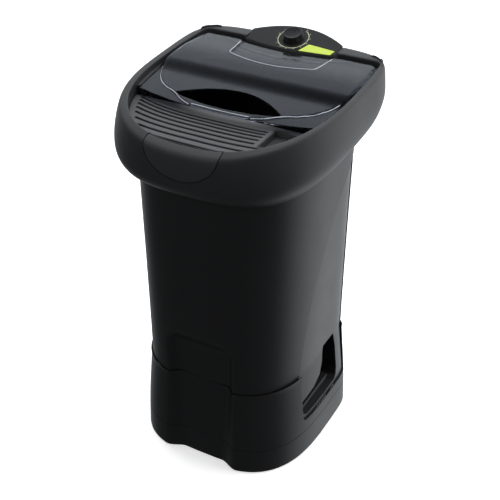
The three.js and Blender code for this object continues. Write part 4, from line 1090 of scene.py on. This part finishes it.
AGITATOR_LOW = 339.0
AGITATOR_R = [1, 8, 16, 24, 27, 32, 40, 50, 60, 70, 80, 88, 94, 97, 98]
AGITATOR_Z = [35, 35, 34.4, 33, 31, 26.5, 22, 18, 14.8, 12, 8.8, 6.2, 4.6, 3.2, 1.4]
FIN_R, FIN_HEIGHT, FIN_HALF = [14, 22, 40, 60, 84, 90], [0, 7, 11, 11, 6, 0], 4.2
spin = np.linspace(0, 2 * math.pi, 240, endpoint=False)
agitator_rings = [circle(96, AGITATOR_LOW, spin), circle(98, AGITATOR_LOW + 0.6, spin)]
for r in np.linspace(98, 1, 60):
    off_fin = r * np.sin(2 * (spin - 0.4)) / 2
    fin = np.interp(r, FIN_R, FIN_HEIGHT) * np.exp(-((off_fin / FIN_HALF) ** 4))
    agitator_rings.append(circle(r, AGITATOR_LOW + np.interp(r, AGITATOR_R, AGITATOR_Z) + fin, spin))
at_drive = np.array([0, DRIVE_Y, 0])
agitator = rings_solid([ring + at_drive for ring in agitator_rings])
ready(agitator.make("agitator_disc", WHITE), "agitator", "white", "agitator")

# ---------- rear cover, spigot and gland ----------
COVER = {"half": 88, "low": 250, "high": 430, "thick": 2.4, "out": 2.8}


def cover_surface(s, z):
    """The outside of the rear cover, on both sides of the round's end."""
    x, y = plan_xy(body_params(z), np.interp(np.mod(s, BODY_ROUND), *BODY_ARC), -COVER["out"])
    return np.stack([x, y, z + 0 * x], -1)


half, low, high = COVER["half"], COVER["low"], COVER["high"]
cover_loop = resampled(rounded([(-half, low), (half, low), (half, high), (-half, high)], 6), 5, closed=True)
slots = [np.vstack([arc(34, z, 2.2, -90, 90, 6), arc(-34, z, 2.2, 90, 270, 6)]) for z in range(318, 367, 12)]
uv, tris = region(cover_loop, slots, np.arange(-84, 86, 6.0), np.arange(254, 428, 6.0), clear=1.8)
cover = sheet(cover_surface, uv, tris, COVER["thick"], lip=0.9, hold=0.6, flip=True)
ready(cover.make("rear_cover_plate", BODY), "machine", "body", "rear_cover")


def from_rear(x, z):
    """Places a solid of revolution so that its axis runs out of the rear wall at x, z."""
    def turn(points):
        return np.column_stack([x + points[:, 0], points[:, 2], z - points[:, 1]])
    return turn


SPIGOT = {"x": -92, "z": 152, "start": 134, "bore_end": 144}
wall_y = PLAN_Y + float(body_params(SPIGOT["z"])[2])
spigot_profile = [(r, SPIGOT["start"]) for r in (0.5, 10.5, 13)]
flange = [(13, 1.4), (18.4, 1.4), (19, 2), (19, 4.2), (18.2, 5), (13.4, 5), (13, 5.6)]
barbs = []
for out in (10, 15, 20):
    barbs += [(12.2, out), (13, out + 0.4), (12.2, out + 4)]
spigot_profile += [(r, wall_y + out) for r, out in flange + barbs + [(12, 25.4), (11.4, 26), (10.6, 25.6)]]
spigot_profile += [(r, SPIGOT["bore_end"]) for r in (10.4, 0.5)]
spigot = lathe(spigot_profile, from_rear(SPIGOT["x"], SPIGOT["z"]), 48)
ready(spigot.make("drain_spigot_barbed", BLACK), "machine", "black", "drain_spigot")

GLAND = {"x": 96, "z": 120}
wall_y = PLAN_Y + float(body_params(GLAND["z"])[2])
gland_section = [
    (0.5, -12), (8, -12), (8, 1.4), (12.6, 1.4), (13, 2), (13, 4.4), (12.4, 5), (8.4, 5), (7, 11.4),
    (6.4, 12), (4.4, 11.6), (4, 2), (0.5, 2),
]
gland = lathe([(r, wall_y + out) for r, out in gland_section], from_rear(GLAND["x"], GLAND["z"]), 40)
ready(gland.make("cord_gland_boot", RUBBER), "machine", "rubber", "cord_gland")

# ---------- camera and studio ----------
camera_data = bpy.data.cameras.new("camera")
camera_data.lens = 72
camera_data.sensor_width = 36
camera = linked("camera", camera_data)
camera.location = (0.8871, -1.6027, 1.6278)
camera.rotation_euler = (math.radians(57.02), 0, math.radians(28.70))
bpy.context.scene.camera = camera
bpy.context.scene.view_settings.view_transform = "Standard"


def softbox(name, place, target, width, height, power):
    """A large soft area light that faces a point and isn't seen in shiny or clear surfaces."""
    data = bpy.data.lights.new(name, "AREA")
    data.shape = "RECTANGLE"
    data.size, data.size_y = width, height
    data.energy = power
    lamp = linked(name, data)
    lamp.location = place
    lamp.visible_glossy = False
    lamp.visible_transmission = False
    lamp.rotation_euler = (Vector(target) - Vector(place)).to_track_quat("-Z", "Y").to_euler()


softbox("right_softbox", (2.4, 0.7, 1.0), (0, 0, 0.5), 1.6, 2.0, 30)
softbox("left_softbox", (-2.4, 0.5, 0.9), (0, 0, 0.45), 1.2, 2.0, 16)
softbox("top_softbox", (0.0, 0.4, 3.0), (0, 0, 0.8), 2.4, 1.6, 120)
softbox("front_fill", (-0.6, -3.0, 2.2), (0, 0, 0.5), 2.0, 1.6, 34)

world = bpy.data.worlds.new("studio")
world.use_nodes = True
bpy.context.scene.world = world
tree = world.node_tree


def ramp(source, start, end, low, high):
    """A smooth step of one part of the sky's direction."""
    step = tree.nodes.new("ShaderNodeMapRange")
    step.interpolation_type = "SMOOTHSTEP"
    set_sockets(step, From_Min=start, From_Max=end, To_Min=low, To_Max=high)
    tree.links.new(source, step.inputs["Value"])
    return step.outputs["Result"]


def times(a, b):
    node = tree.nodes.new("ShaderNodeMath")
    node.operation = "MULTIPLY"
    tree.links.new(a, node.inputs[0])
    tree.links.new(b, node.inputs[1])
    return node.outputs["Value"]


# The room is bright behind the machine and to its right, and dark in front of it and overhead.
where = tree.nodes.new("ShaderNodeTexCoord")
axis = tree.nodes.new("ShaderNodeSeparateXYZ")
tree.links.new(where.outputs["Generated"], axis.inputs["Vector"])
behind = ramp(axis.outputs["Y"], -0.1, 0.85, 0.09, 1.35)
rightwards = ramp(axis.outputs["X"], -0.4, 0.8, 0.8, 0.95)
overhead = ramp(axis.outputs["Z"], 0.55, 0.85, 1.0, 0.2)
ambient = set_sockets(tree.nodes["Background"], Color=(0.93, 0.97, 1.0, 1))
tree.links.new(times(times(behind, rightwards), overhead), ambient.inputs["Strength"])
backdrop = set_sockets(tree.nodes.new("ShaderNodeBackground"), Color=(1, 1, 1, 1), Strength=1.05)
seen = tree.nodes.new("ShaderNodeLightPath")
either = tree.nodes.new("ShaderNodeMixShader")
tree.links.new(seen.outputs["Is Camera Ray"], either.inputs["Fac"])
tree.links.new(ambient.outputs["Background"], either.inputs[1])
tree.links.new(backdrop.outputs["Background"], either.inputs[2])
tree.links.new(either.outputs["Shader"], tree.nodes["World Output"].inputs["Surface"])

floor_mesh = bpy.data.meshes.new("floor")
floor_mesh.from_pydata([(-6, -6, 0), (6, -6, 0), (6, 6, 0), (-6, 6, 0)], [], [(0, 1, 2, 3)])
floor_mat = material("pale_floor", (0.86, 0.86, 0.86), 0.8, uneven=0.004, Emission_Color=(1, 1, 1, 1),
                     Emission_Strength=0.55)
floor_mesh.materials.append(floor_mat)
floor = linked("floor", floor_mesh)
floor.visible_glossy = False
floor.visible_diffuse = False
floor.visible_transmission = False
